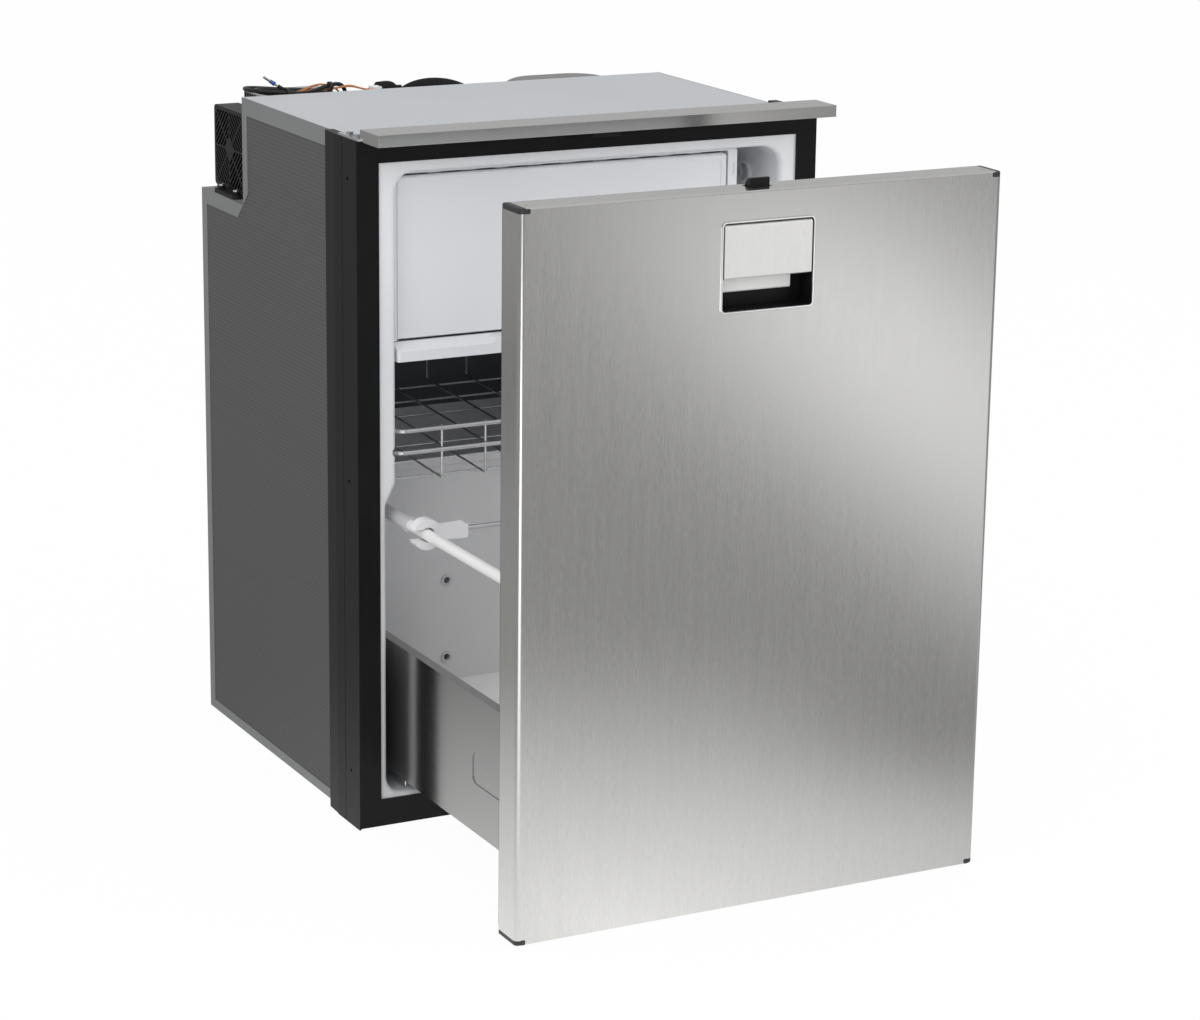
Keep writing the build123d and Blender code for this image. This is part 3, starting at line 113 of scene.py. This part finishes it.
# soft white studio; metal and gloss mirror a sky that darkens to the horizon and a floor with soft patches
studio = {
    "floorGrey": 0.88,
    "floorWhite": 0.97,  # share of pure white in the floor that the camera sees
    "worldLight": 0.82,
    "mirrorHorizon": 0.58,
    "mirrorTop": 0.85,
    "lamps": [
        ("keyLamp", (-2.8, -2.2, 3.2), (0, 0, 0.4), 2.6, 50),
        ("topLamp", (0.3, -0.6, 3.6), (0, 0, 0.5), 2.2, 12),
        ("fillLamp", (2.4, -3.2, 1.8), (0, -0.3, 0.5), 2.2, 34),
    ],
    "floorReach": 14,
    "farTone": 0.33,
    "patchFall": 0.6,
    # place, half sizes, turn and strength of each soft patch of light or dark
    "patches": [
        ((-0.15, -0.6), (0.95, 1.0), 0, 0.82),
        ((1.72, -3.3), (0.46, 3.1), 20, 1.45),
        ((0.45, -0.98), (0.26, 0.32), 25, -0.18),
        ((-1.3, -2.7), (1.0, 2.2), -27, 4.0),
        ((-1.4, 1.6), (0.6, 0.9), 27, -0.16),
    ],
}


def addLamp(name, place, target, size, power):
    data = bpy.data.lights.new(name, "AREA")
    data.shape = "SQUARE"
    data.size = size
    data.energy = power
    lamp = bpy.data.objects.new(name, data)
    bpy.context.collection.objects.link(lamp)
    lamp.location = place
    lamp.rotation_euler = (Vector(place) - Vector(target)).to_track_quat("Z", "Y").to_euler()
    return lamp


def makeWorld(settings):
    world = bpy.data.worlds.new("studioWorld")
    bpy.context.scene.world = world
    world.use_nodes = True
    tree = world.node_tree
    lit = tree.nodes["Background"]
    lit.inputs["Color"].default_value = (1, 1, 1, 1)
    lit.inputs["Strength"].default_value = settings["worldLight"]
    rays = addNode(tree, "ShaderNodeLightPath")
    aim = addNode(tree, "ShaderNodeTexCoord").outputs["Generated"]
    height = addNode(tree, "ShaderNodeSeparateXYZ", {0: aim}).outputs["Z"]
    tone = between(tree, height, settings["mirrorHorizon"], settings["mirrorTop"], 0.0, 0.85)
    mirrored = addNode(tree, "ShaderNodeBackground", {"Strength": tone}).outputs[0]
    white = addNode(tree, "ShaderNodeBackground", {"Strength": 1.0}).outputs[0]
    glossy = mixedShader(tree, rays.outputs["Is Glossy Ray"], lit.outputs[0], mirrored)
    seen = mixedShader(tree, rays.outputs["Is Camera Ray"], glossy, white)
    tree.links.new(seen, tree.nodes["World Output"].inputs["Surface"])


def softPatch(tree, coordinates, fallPower, place, halfSizes, turn, strength):
    seat = {"Vector": coordinates, "Location": (*place, 0), "Scale": (*halfSizes, 1),
            "Rotation": (0, 0, math.radians(turn))}
    spread = addNode(tree, "ShaderNodeMapping", seat, vector_type="TEXTURE").outputs[0]
    ball = addNode(tree, "ShaderNodeTexGradient", {0: spread}, gradient_type="QUADRATIC_SPHERE")
    fall = sums(tree, "POWER", ball.outputs["Fac"], fallPower)
    return sums(tree, "MULTIPLY", fall, strength)


def makeFloor(settings):
    mesh = bpy.data.meshes.new("studioFloor")
    reach = settings["floorReach"]
    corners = [(-reach, -reach, 0), (reach, -reach, 0), (reach, reach, 0), (-reach, reach, 0)]
    mesh.from_pydata(corners, [], [(0, 1, 2, 3)])
    floor = bpy.data.objects.new("studioFloor", mesh)
    floor.location.z = -0.0005  # just under the base, so the two faces don't fight
    bpy.context.collection.objects.link(floor)
    sweep = bpy.data.materials.new("whiteSweep")
    sweep.use_nodes = True
    tree = sweep.node_tree
    shader = tree.nodes["Principled BSDF"]
    shader.inputs["Base Color"].default_value = (settings["floorGrey"],) * 3 + (1,)
    shader.inputs["Roughness"].default_value = 0.9
    shader.inputs["Specular IOR Level"].default_value = 0.0
    rays = addNode(tree, "ShaderNodeLightPath")
    coordinates = addNode(tree, "ShaderNodeTexCoord").outputs["Object"]
    tone = settings["farTone"]
    for patch in settings["patches"]:
        tone = sums(tree, "ADD", softPatch(tree, coordinates, settings["patchFall"], *patch), tone)
    tone = sums(tree, "MAXIMUM", tone, 0.02)
    mirrored = addNode(tree, "ShaderNodeEmission", {"Strength": tone}).outputs[0]
    glow = addNode(tree, "ShaderNodeEmission").outputs[0]
    whiter = mixedShader(tree, settings["floorWhite"], shader.outputs[0], glow)
    glossy = mixedShader(tree, rays.outputs["Is Glossy Ray"], shader.outputs[0], mirrored)
    seen = mixedShader(tree, rays.outputs["Is Camera Ray"], glossy, whiter)
    tree.links.new(seen, tree.nodes["Material Output"].inputs["Surface"])
    mesh.materials.append(sweep)


for lampSettings in studio["lamps"]:
    addLamp(*lampSettings).visible_glossy = False
makeWorld(studio)
makeFloor(studio)
print("camera and studio ready")


# finishes


def stretchedNoise(tree, stretch, detail=2.0, scale=1.0, distortion=0.0):
    place = addNode(tree, "ShaderNodeTexCoord")
    spread = addNode(tree, "ShaderNodeMapping", {"Vector": place.outputs["Object"], "Scale": stretch})
    noise = addNode(tree, "ShaderNodeTexNoise", {"Vector": spread.outputs["Vector"], "Scale": scale,
                                                 "Detail": detail, "Distortion": distortion})
    return noise.outputs["Fac"]


def tinted(tree, fac, dark, light):
    mix = addNode(tree, "ShaderNodeMix", data_type="RGBA")
    tree.links.new(fac, mix.inputs["Factor"])
    mix.inputs[6].default_value = (*dark, 1)
    mix.inputs[7].default_value = (*light, 1)
    return mix.outputs[2]


def shade(colour, factor):
    return tuple(min(1.0, part * factor) for part in colour)


def variedColour(tree, fac, look, vary, *limits):
    dark, light = shade(look["colour"], 1 - vary), shade(look["colour"], 1 + vary)
    return tinted(tree, between(tree, fac, 0, 1, *limits), dark, light)


def addBump(tree, shader, height, strength, depth):
    bump = addNode(tree, "ShaderNodeBump", {"Height": height, "Strength": strength, "Distance": depth})
    tree.links.new(bump.outputs["Normal"], shader.inputs["Normal"])


def newFinish(name, look):
    finish = bpy.data.materials.new(name)
    finish.use_nodes = True
    shader = finish.node_tree.nodes["Principled BSDF"]
    shader.inputs["Base Color"].default_value = (*look["colour"], 1)
    shader.inputs["Roughness"].default_value = look["rough"]
    shader.inputs["Metallic"].default_value = look.get("metal", 0.0)
    sockets = {"gloss": "Specular IOR Level", "coat": "Coat Weight", "anisotropy": "Anisotropic"}
    for key, socket in sockets.items():
        if key in look:
            shader.inputs[socket].default_value = look[key]
    return finish, finish.node_tree, shader


grainPlay = {"cloudScale": 6.0, "vary": 0.03, "rough": 0.04}


def grainyFinish(name, look):
    # fine grain for mouldings and coated sheets: speckle in colour, roughness and bump
    finish, tree, shader = newFinish(name, look)
    grain = stretchedNoise(tree, (1, 1, 1), 3.0, look["grainScale"])
    cloud = stretchedNoise(tree, (1, 1, 1), 2.0, grainPlay["cloudScale"])
    colour = variedColour(tree, cloud, look, look.get("vary", grainPlay["vary"]))
    tree.links.new(colour, shader.inputs["Base Color"])
    rough = between(tree, grain, look["rough"] - grainPlay["rough"], look["rough"] + grainPlay["rough"])
    tree.links.new(rough, shader.inputs["Roughness"])
    addBump(tree, shader, grain, look["bump"], look["depth"])
    return finish


hairlinePlay = {"slowScale": 0.12, "slowShare": 0.3, "limits": (0.4, 0.9), "rough": 0.03}


def brushedFinish(name, look):
    # hairlines run along one axis: fine streaks over slower ones
    finish, tree, shader = newFinish(name, look)
    fine = stretchedNoise(tree, look["hairline"], 3.0, 1.0)
    slowLine = tuple(part * hairlinePlay["slowScale"] for part in look["hairline"])
    slow = stretchedNoise(tree, slowLine, 2.0, 1.0)
    both = sums(tree, "ADD", fine, sums(tree, "MULTIPLY", slow, hairlinePlay["slowShare"]))
    limits, play = hairlinePlay["limits"], hairlinePlay["rough"]
    tree.links.new(variedColour(tree, both, look, look["vary"], *limits), shader.inputs["Base Color"])
    rough = between(tree, both, look["rough"] - play, look["rough"] + play, *limits)
    tree.links.new(rough, shader.inputs["Roughness"])
    addBump(tree, shader, fine, look["bump"], look["depth"])
    return finish


def dress(finish, *names):
    for name in names:
        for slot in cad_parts[name].material_slots:
            slot.material = finish


sheetLooks = {
    "topSheet": dict(colour=(0.47, 0.485, 0.505), rough=0.5, grainScale=700, bump=0.08, depth=0.0002,
                     vary=0.02),
    "backSheet": dict(colour=(0.22, 0.22, 0.23), rough=0.5, grainScale=700, bump=0.15, depth=0.0003),
    "edgeFoil": dict(colour=(0.25, 0.255, 0.258), rough=0.42, grainScale=500, bump=0.06, depth=0.0002,
                     metal=0.4),
    "blackFrame": dict(colour=(0.005, 0.005, 0.0054), rough=0.4, gloss=0.22, grainScale=1200,
                       bump=0.15, depth=0.0002),
    "plateSlate": dict(colour=(0.110, 0.116, 0.130), rough=0.42, grainScale=800, bump=0.04, depth=0.0002),
    "railWhite": dict(colour=(0.80, 0.80, 0.80), rough=0.3, grainScale=900, bump=0.02, depth=0.0001,
                      coat=0.2),
    "backWhite": dict(colour=(0.60, 0.60, 0.605), rough=0.42, grainScale=500, bump=0.04, depth=0.0002),
    "bracketBlack": dict(colour=(0.012, 0.012, 0.013), rough=0.45, gloss=0.3, grainScale=600, bump=0.1,
                         depth=0.0002),
    "canBlack": dict(colour=(0.012, 0.012, 0.012), rough=0.25, grainScale=250, bump=0.05, depth=0.0003,
                     coat=0.5),
    "mountBlack": dict(colour=(0.03, 0.03, 0.03), rough=0.55, grainScale=500, bump=0.15, depth=0.0003),
}
mouldingLooks = {
    "linerWhite": dict(colour=(0.80, 0.81, 0.83), rough=0.32, grainScale=900, bump=0.02, depth=0.0001),
    "freezerWhite": dict(colour=(0.78, 0.79, 0.82), rough=0.36, grainScale=900, bump=0.03, depth=0.0001),
    "knobGrey": dict(colour=(0.42, 0.43, 0.45), rough=0.35, grainScale=900, bump=0.05, depth=0.0001),
    "ringWhite": dict(colour=(0.84, 0.84, 0.84), rough=0.35, grainScale=900, bump=0.03, depth=0.0001),
    "cupBlack": dict(colour=(0.007, 0.007, 0.008), rough=0.4, gloss=0.3, grainScale=900, bump=0.1,
                     depth=0.0002),
    "barGrey": dict(colour=(0.80, 0.80, 0.79), rough=0.35, grainScale=900, bump=0.04, depth=0.0001),
    "capGrey": dict(colour=(0.030, 0.030, 0.031), rough=0.5, grainScale=1100, bump=0.15, depth=0.0002),
    "fittingWhite": dict(colour=(0.82, 0.82, 0.83), rough=0.32, grainScale=700, bump=0.03, depth=0.0001),
    # the rail sockets are real pieces, but their grey, darker than the white rails, is painted shade on the
    # rear of the tube
    "socketGreyPaintedShade": dict(colour=(0.56, 0.56, 0.57), rough=0.38, grainScale=700, bump=0.04, depth=0.0001),
    "grommetGrey": dict(colour=(0.50, 0.50, 0.51), rough=0.4, grainScale=700, bump=0.06, depth=0.0001),
    "floorWhite": dict(colour=(0.78, 0.78, 0.78), rough=0.38, grainScale=500, bump=0.03, depth=0.0002),
    "fanBlack": dict(colour=(0.008, 0.008, 0.008), rough=0.45, gloss=0.35, grainScale=900, bump=0.15,
                     depth=0.0002),
    "foamCore": dict(colour=(0.72, 0.64, 0.42), rough=0.9, grainScale=900, bump=0.5, depth=0.0006),
    "tieBlack": dict(colour=(0.012, 0.012, 0.012), rough=0.4, grainScale=900, bump=0.1, depth=0.0002),
    "leadBlack": dict(colour=(0.010, 0.010, 0.010), rough=0.42, gloss=0.4, grainScale=900, bump=0.1,
                      depth=0.0002),
    "gasketBlack": dict(colour=(0.014, 0.014, 0.014), rough=0.6, gloss=0.3, grainScale=600, bump=0.1,
                        depth=0.0002),
    "sleeveFoam": dict(colour=(0.010, 0.010, 0.011), rough=0.75, gloss=0.15, grainScale=420, bump=0.45,
                       depth=0.0009),
    "ferruleRed": dict(colour=(0.42, 0.03, 0.025), rough=0.4, grainScale=900, bump=0.05, depth=0.0001),
    "ferruleBlue": dict(colour=(0.03, 0.10, 0.36), rough=0.4, grainScale=900, bump=0.05, depth=0.0001),
}
brightLooks = {
    "frontSteel": dict(colour=(0.69, 0.685, 0.67), rough=0.21, metal=1.0, anisotropy=0.3,
                       hairline=(1300, 1300, 120), vary=0.065, bump=0.05, depth=0.0001),
    "paddleSteel": dict(colour=(0.86, 0.855, 0.84), rough=0.38, metal=0.55,
                        hairline=(1300, 1300, 120), vary=0.05, bump=0.04, depth=0.0001),
    "trimSteel": dict(colour=(0.60, 0.595, 0.585), rough=0.17, metal=1.0,
                      hairline=(12, 2600, 2600), vary=0.03, bump=0.02, depth=0.0001),
    "drawerSteel": dict(colour=(0.44, 0.435, 0.43), rough=0.16, metal=1.0,
                        hairline=(1500, 10, 1500), vary=0.04, bump=0.03, depth=0.0001),
    "brightZinc": dict(colour=(0.72, 0.73, 0.75), rough=0.22, metal=1.0,
                       hairline=(260, 260, 260), vary=0.06, bump=0.05, depth=0.0001),
    "polishedRing": dict(colour=(0.80, 0.80, 0.80), rough=0.12, metal=1.0,
                         hairline=(500, 500, 500), vary=0.02, bump=0.02, depth=0.0001),
    "basketWire": dict(colour=(0.74, 0.74, 0.74), rough=0.16, metal=1.0,
                       hairline=(300, 300, 300), vary=0.05, bump=0.03, depth=0.0001),
    "finAluminium": dict(colour=(0.62, 0.63, 0.64), rough=0.35, metal=1.0,
                         hairline=(300, 300, 40), vary=0.05, bump=0.04, depth=0.0001),
    "castGrey": dict(colour=(0.30, 0.30, 0.31), rough=0.5, metal=0.8,
                     hairline=(700, 700, 700), vary=0.06, bump=0.15, depth=0.0002),
    "copperTube": dict(colour=(0.72, 0.36, 0.22), rough=0.28, metal=1.0,
                       hairline=(300, 300, 300), vary=0.08, bump=0.05, depth=0.0001),
    "tinnedTip": dict(colour=(0.70, 0.70, 0.70), rough=0.25, metal=1.0,
                      hairline=(600, 600, 600), vary=0.04, bump=0.04, depth=0.0001),
}

finishes = {name: grainyFinish(name, look) for name, look in {**sheetLooks, **mouldingLooks}.items()}
finishes.update({name: brushedFinish(name, look) for name, look in brightLooks.items()})


sideLook = {
    "colour": (0.082, 0.082, 0.084), "rough": 0.5, "gloss": 0.3, "vary": 0.10,
    "ribPitch": 0.0046, "ribDepth": 0.0004, "ribBump": 0.35, "lineScale": (0.5, 0.5, 300),
}


def ribbedLaminate(look):
    # fine level ribs with a slight unevenness from rib to rib
    finish, tree, shader = newFinish("sideLaminate", look)
    place = addNode(tree, "ShaderNodeTexCoord").outputs["Object"]
    bands = math.pi / 10 / look["ribPitch"]  # a wave texture of scale 1 repeats every tenth of pi
    smooth = {"Vector": place, "Scale": bands, "Distortion": 0.0, "Detail": 0.0}
    ribs = addNode(tree, "ShaderNodeTexWave", smooth, wave_type="BANDS", bands_direction="Z").outputs["Fac"]
    lines = stretchedNoise(tree, look["lineScale"], 2.0, 1.0)
    both = sums(tree, "ADD", ribs, lines)
    tree.links.new(variedColour(tree, both, look, look["vary"], 0.5, 1.5), shader.inputs["Base Color"])
    addBump(tree, shader, ribs, look["ribBump"], look["ribDepth"])
    return finish


finishes["sideLaminate"] = ribbedLaminate(sideLook)


# the sensor wires end in white plugs, which stand past plugEdge and above plugFoot
wireLook = {
    "colour": (0.45, 0.17, 0.055), "plug": (0.80, 0.80, 0.78), "rough": 0.4, "vary": 0.1,
    "plugEdge": -0.0972, "plugFoot": 0.73, "grainScale": 800,
}


def wireAndPlug(look):
    finish, tree, shader = newFinish("sensorWire", look)
    place = addNode(tree, "ShaderNodeTexCoord").outputs["Object"]
    parts = addNode(tree, "ShaderNodeSeparateXYZ", {0: place})
    past = sums(tree, "GREATER_THAN", parts.outputs["X"], look["plugEdge"])
    above = sums(tree, "GREATER_THAN", parts.outputs["Z"], look["plugFoot"])
    grain = stretchedNoise(tree, (1, 1, 1), 2.0, look["grainScale"])
    wire = variedColour(tree, grain, look, look["vary"])
    mix = addNode(tree, "ShaderNodeMix", data_type="RGBA")
    tree.links.new(sums(tree, "MULTIPLY", past, above), mix.inputs["Factor"])
    tree.links.new(wire, mix.inputs[6])
    mix.inputs[7].default_value = (*look["plug"], 1)
    tree.links.new(mix.outputs[2], shader.inputs["Base Color"])
    return finish


finishes["sensorWire"] = wireAndPlug(wireLook)

nodeFinishes = {
    "foamCore": ["insulation", "door_foam"],
    "linerWhite": ["inner_liner", "door_inner_panel"],
    "freezerWhite": ["evaporator_box", "freezer_bezel", "freezer_door", "drip_tray", "tray_rails"],
    "ringWhite": ["thermostat_bezel"],
    "knobGrey": ["thermostat_knob"],
    "sideLaminate": ["side_panels"],
    "topSheet": ["top_panel"],
    "backSheet": ["back_panel", "base_panel"],
    "edgeFoil": ["edge_trims"],
    "blackFrame": ["frame_post_left", "frame_post_right", "frame_rail_top", "frame_rail_bottom"],
    "trimSteel": ["top_trim"],
    "brightZinc": ["trim_brackets", "trim_bolts", "slide_outers", "slide_middles", "slide_inners"],
    "frontSteel": ["door_skin"],
    "paddleSteel": ["handle_paddle"],
    "polishedRing": ["handle_bezel", "handle_pin"],
    "cupBlack": ["handle_cup", "latch_bolt"],
    "barGrey": ["release_bar"],
    "capGrey": ["door_corner_caps"],
    "gasketBlack": ["door_gasket"],
    "drawerSteel": ["drawer_sides"],
    "backWhite": ["drawer_back"],
    "floorWhite": ["drawer_floor"],
    "railWhite": ["side_rails"],
    "fittingWhite": ["divider_clips"],
    # grey with painted shade on the rear of the tube
    "socketGreyPaintedShade": ["rail_sockets"],
    "grommetGrey": ["back_grommets"],
    "basketWire": ["basket_rails", "basket_wires", "divider_rod"],
    "plateSlate": ["evaporator_plate"],
    "fanBlack": ["fan_housing", "fan_rotor"],
    "bracketBlack": ["fan_bracket", "latch_striker"],
    "finAluminium": ["condenser"],
    "canBlack": ["compressor"],
    "mountBlack": ["compressor_mount"],
    "castGrey": ["control_unit"],
    "sleeveFoam": ["suction_foam"],
    "copperTube": ["refrigerant_tubes"],
    "leadBlack": ["supply_lead"],
    "tieBlack": ["cable_ties"],
    "tinnedTip": ["wire_connectors"],
    "sensorWire": ["sensor_wires"],
}
for finishName, nodeNames in nodeFinishes.items():
    dress(finishes[finishName], *nodeNames)
print("finishes on")


# helpers for the small pieces


def addPiece(name, mesh, finish, body):
    piece = bpy.data.objects.new(name, mesh)
    bpy.context.collection.objects.link(piece)
    mesh.polygons.foreach_set("use_smooth", [True] * len(mesh.polygons))
    mesh.materials.append(finishes[finish])
    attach(piece, body)
    return piece


def turnedMesh(name, profile, placings, steps=24):
    # one turned profile of (radius, height) points, spun about Z and set at every placing
    mesh = bmesh.new()
    for placing in placings:
        rings = []
        for radius, height in profile:
            ring = []
            for step in range(steps):
                angle = 2 * math.pi * step / steps
                point = Vector((radius * math.cos(angle), radius * math.sin(angle), height))
                ring.append(mesh.verts.new(placing @ point))
            rings.append(ring)
        for low, high in zip(rings, rings[1:]):
            for step in range(steps):
                following = (step + 1) % steps
                mesh.faces.new((low[step], low[following], high[following], high[step]))
        mesh.faces.new(list(reversed(rings[0])))
        mesh.faces.new(rings[-1])
    data = bpy.data.meshes.new(name)
    mesh.to_mesh(data)
    mesh.free()
    return data


def aimed(place, direction):
    return Matrix.Translation(place) @ Vector(direction).to_track_quat("Z", "Y").to_matrix().to_4x4()


# supply lead: out of the control unit, over the condenser and round in two loops that wind inwards
# places are in millimetres, with y back from the plane of the black front frame
supplyLead = {
    "diameter": 0.0048,  # metres
    "length": 0.670,  # metres
    "condenserLeft": -214.0,
    "condenserRight": -124.0,
    "condenserTop": 738.0,
    "recessFront": 345.0,
    "exit": (-98.0, 400.0, 665.0),
    "loopBend": 32.5,
    "loopStep": 5.9,  # each turn bends this much tighter
    "loopReach": 24.0,
    "loopShrink": 4.0,
    "loopSide": 25.0,
    "loopBack": 41.0,
    "straightness": 1.6,  # 1 is an oval, more gives straighter sides
    "drift": 2.5,
    "lift": 3.0,
    "overhangFrom": 49.0,
    "overhangRise": 0.1,
    "startRise": 6.0,
    "endRise": 8.0,
    "endFrom": 1.6,
    "turns": 2,
    "pointsPerTurn": 12,
    "middleY": 236.5,
}


def loopPoint(settings, turns):
    angle = math.radians(270 - 360 * turns)
    bend = settings["loopBend"] - settings["loopStep"] * turns
    reach = settings["loopReach"] - settings["loopShrink"] * turns
    reach *= max(-1, min(1, settings["straightness"] * math.cos(angle)))
    left = settings["condenserLeft"]
    x = left + settings["loopSide"] + settings["drift"] * turns + reach + bend * math.cos(angle)
    y = settings["recessFront"] + settings["loopBack"] + bend * math.sin(angle)
    overhang = max(0, left + settings["overhangFrom"] - x)
    z = settings["condenserTop"] + settings["lift"] + settings["overhangRise"] * overhang
    z += settings["startRise"] * max(0, settings["turns"] / 4 - turns)
    z += settings["endRise"] * max(0, turns - settings["endFrom"])
    return (x, y, z)


def leadPoints(settings):
    x, y, z = settings["exit"]
    rise, top = settings["condenserRight"] + 11, settings["condenserTop"]
    entry = [(x, y, z), (x - 6, y, z), (x - 12.5, y, z + 4),
             (rise, y - 1, z + 13), (rise - 0.5, y - 2, z + 28), (rise - 1, y - 4, z + 50),
             (rise - 4, y - 10, top - 2), (rise - 13, y - 19, top + 12), (rise - 25, y - 25.3, top + 14.3),
             (rise - 41, y - 33.5, top + 13.2), (rise - 58, y - 43, top + 10)]
    count = settings["turns"] * settings["pointsPerTurn"]
    loops = [loopPoint(settings, number / settings["pointsPerTurn"]) for number in range(count)]
    x, y = settings["condenserLeft"] + settings["loopSide"], settings["recessFront"] + settings["loopBack"]
    tail = [(x + 13, y - 18.8, top + 6.5), (x - 1, y - 18, top + 7),
            (x - 12, y - 15, top + 10.5), (x - 19, y - 12, top + 15.5)]
    middle = settings["middleY"]
    return [Vector((px, py - middle, pz)) / 1000 for px, py, pz in entry + loops + tail]


def makeLead(settings):
    points = leadPoints(settings)
    curve = bpy.data.curves.new("supplyLead", "CURVE")
    curve.dimensions = "3D"
    curve.bevel_depth = settings["diameter"] / 2
    curve.bevel_resolution = 5
    curve.resolution_u = 10
    curve.use_fill_caps = True
    spline = curve.splines.new("NURBS")
    spline.points.add(len(points) - 1)
    for controlPoint, point in zip(spline.points, points):
        controlPoint.co = (*point, 1)
    spline.order_u = 3
    spline.use_endpoint_u = True
    lead = bpy.data.objects.new("supplyLead", curve)
    bpy.context.collection.objects.link(lead)
    curve.materials.append(finishes["leadBlack"])
    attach(lead, "cabinet")
    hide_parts("supply_lead")
    return lead, points


# ferrules: a coloured sleeve over each collar at the end of the lead's two wires
ferrule = {
    "spread": 0.00125, "splay": 5, "start": 0.0036, "length": 0.0068,
    "radius": 0.0020, "lip": 0.00235,
}


def makeFerrules(settings, points):
    heading = (points[-1] - points[-2]).normalized()
    side = Vector((0, 1, 0))
    side = (side - heading * side.dot(heading)).normalized()
    across = heading.cross(side)
    seat = Matrix.Translation(points[-1]) @ Matrix((side, across, heading)).transposed().to_4x4()
    radius, lip, length = settings["radius"], settings["lip"], settings["length"]
    profile = [(radius * 0.9, 0), (lip, 0.0004), (lip, 0.0016), (radius, 0.0030), (radius, length - 0.0003),
               (radius * 0.85, length)]
    sleeves = []
    for hand, finish in ((-1, "ferruleBlue"), (1, "ferruleRed")):
        line = seat @ Matrix.Translation((hand * settings["spread"], 0, 0))
        line = line @ Matrix.Rotation(math.radians(settings["splay"] * hand), 4, "Y")
        line = line @ Matrix.Translation((0, 0, settings["start"]))
        name = finish + "Sleeve"
        sleeves.append(addPiece(name, turnedMesh(name, profile, [line]), finish, "cabinet"))
    return sleeves


lead, leadControls = makeLead(supplyLead)
sleeves = makeFerrules(ferrule, leadControls)
print("supply lead laid")


# weld beads where the basket's wires meet its rails and each other
basketWelds = {
    "firstWire": -0.172, "wirePitch": 0.0513, "wireCount": 8,
    "firstCross": 0.034, "crossPitch": 0.0554, "crossCount": 7,
    "front": 0.009, "back": 0.390, "lowRail": 0.413, "highRail": 0.4365,
    "floorDrop": 0.0325, "floorRise": 0.015,
    "meshWire": 0.0013, "railWire": 0.0024, "middleY": 0.2365, "beadSteps": 10,
    "bead": [(0.0004, -0.0015), (0.0013, -0.0011), (0.0017, 0.0), (0.0013, 0.0011), (0.0004, 0.0015)],
}


def weldPlaces(settings):
    places = []
    middle, front, back = settings["middleY"], settings["front"], settings["back"]
    low, high = settings["lowRail"], settings["highRail"]
    inside = settings["railWire"] + settings["meshWire"] * 0.6  # a little into both wires
    for number in range(settings["wireCount"]):
        x = settings["firstWire"] + number * settings["wirePitch"]
        places.append((x, front + inside - middle, low))
        places.append((x, front + inside - middle, high))
        places.append((x, back - inside - middle, high))
        for cross in range(settings["crossCount"]):
            y = settings["firstCross"] + cross * settings["crossPitch"]
            share = (y - front) / (back - front)
            z = low - settings["floorDrop"] + settings["floorRise"] * share - settings["meshWire"]
            places.append((x, y - middle, z))
    return places


placings = [Matrix.Translation(place) for place in weldPlaces(basketWelds)]
beads = turnedMesh("weldBeads", basketWelds["bead"], placings, basketWelds["beadSteps"])
addPiece("weldBeads", beads, "basketWire", "basket")
print("basket welds on")


# round screw heads: on the fan bracket's bosses and round the back sheet
panHead = {"radius": 0.0034, "height": 0.0019, "recess": 0.0012}
fanScrews = {"size": 1.15, "fromLeft": 0.0065, "fromFront": (0.009, 0.053), "sunk": 0.0004}
backScrews = {"x": (-0.235, -0.08, 0.08, 0.235), "z": (0.03, 0.30, 0.60), "sunk": 0.0002}


def screwProfile(settings, size=1.0):
    radius, height, recess = (settings[key] * size for key in ("radius", "height", "recess"))
    crown = [(radius, 0), (radius * 0.97, height * 0.45), (radius * 0.75, height * 0.85)]
    crown += [(radius * 0.42, height), (radius * 0.40, height - recess * 0.7)]
    return crown + [(radius * 0.12, height - recess)]


def fanHeadPlaces(settings):
    low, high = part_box("fan_bracket")
    x, foot = low[0] + settings["fromLeft"], high[2] - settings["sunk"]
    return [aimed((x, low[1] + reach, foot), (0, 0, 1)) for reach in settings["fromFront"]]


def backHeadPlaces(settings):
    # half way up only the outer two columns have a screw
    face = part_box("back_panel")[1][1] - settings["sunk"]
    middle, outer = settings["z"][1], settings["x"][-1]
    return [aimed((x, face, z), (0, 1, 0)) for x in settings["x"] for z in settings["z"]
            if z != middle or abs(x) == outer]


fanHeads = turnedMesh("fanScrewHeads", screwProfile(panHead, fanScrews["size"]), fanHeadPlaces(fanScrews))
addPiece("fanScrewHeads", fanHeads, "brightZinc", "cabinet")
backHeads = turnedMesh("backScrewHeads", screwProfile(panHead), backHeadPlaces(backScrews))
addPiece("backScrewHeads", backHeads, "brightZinc", "cabinet")
print("screw heads on")
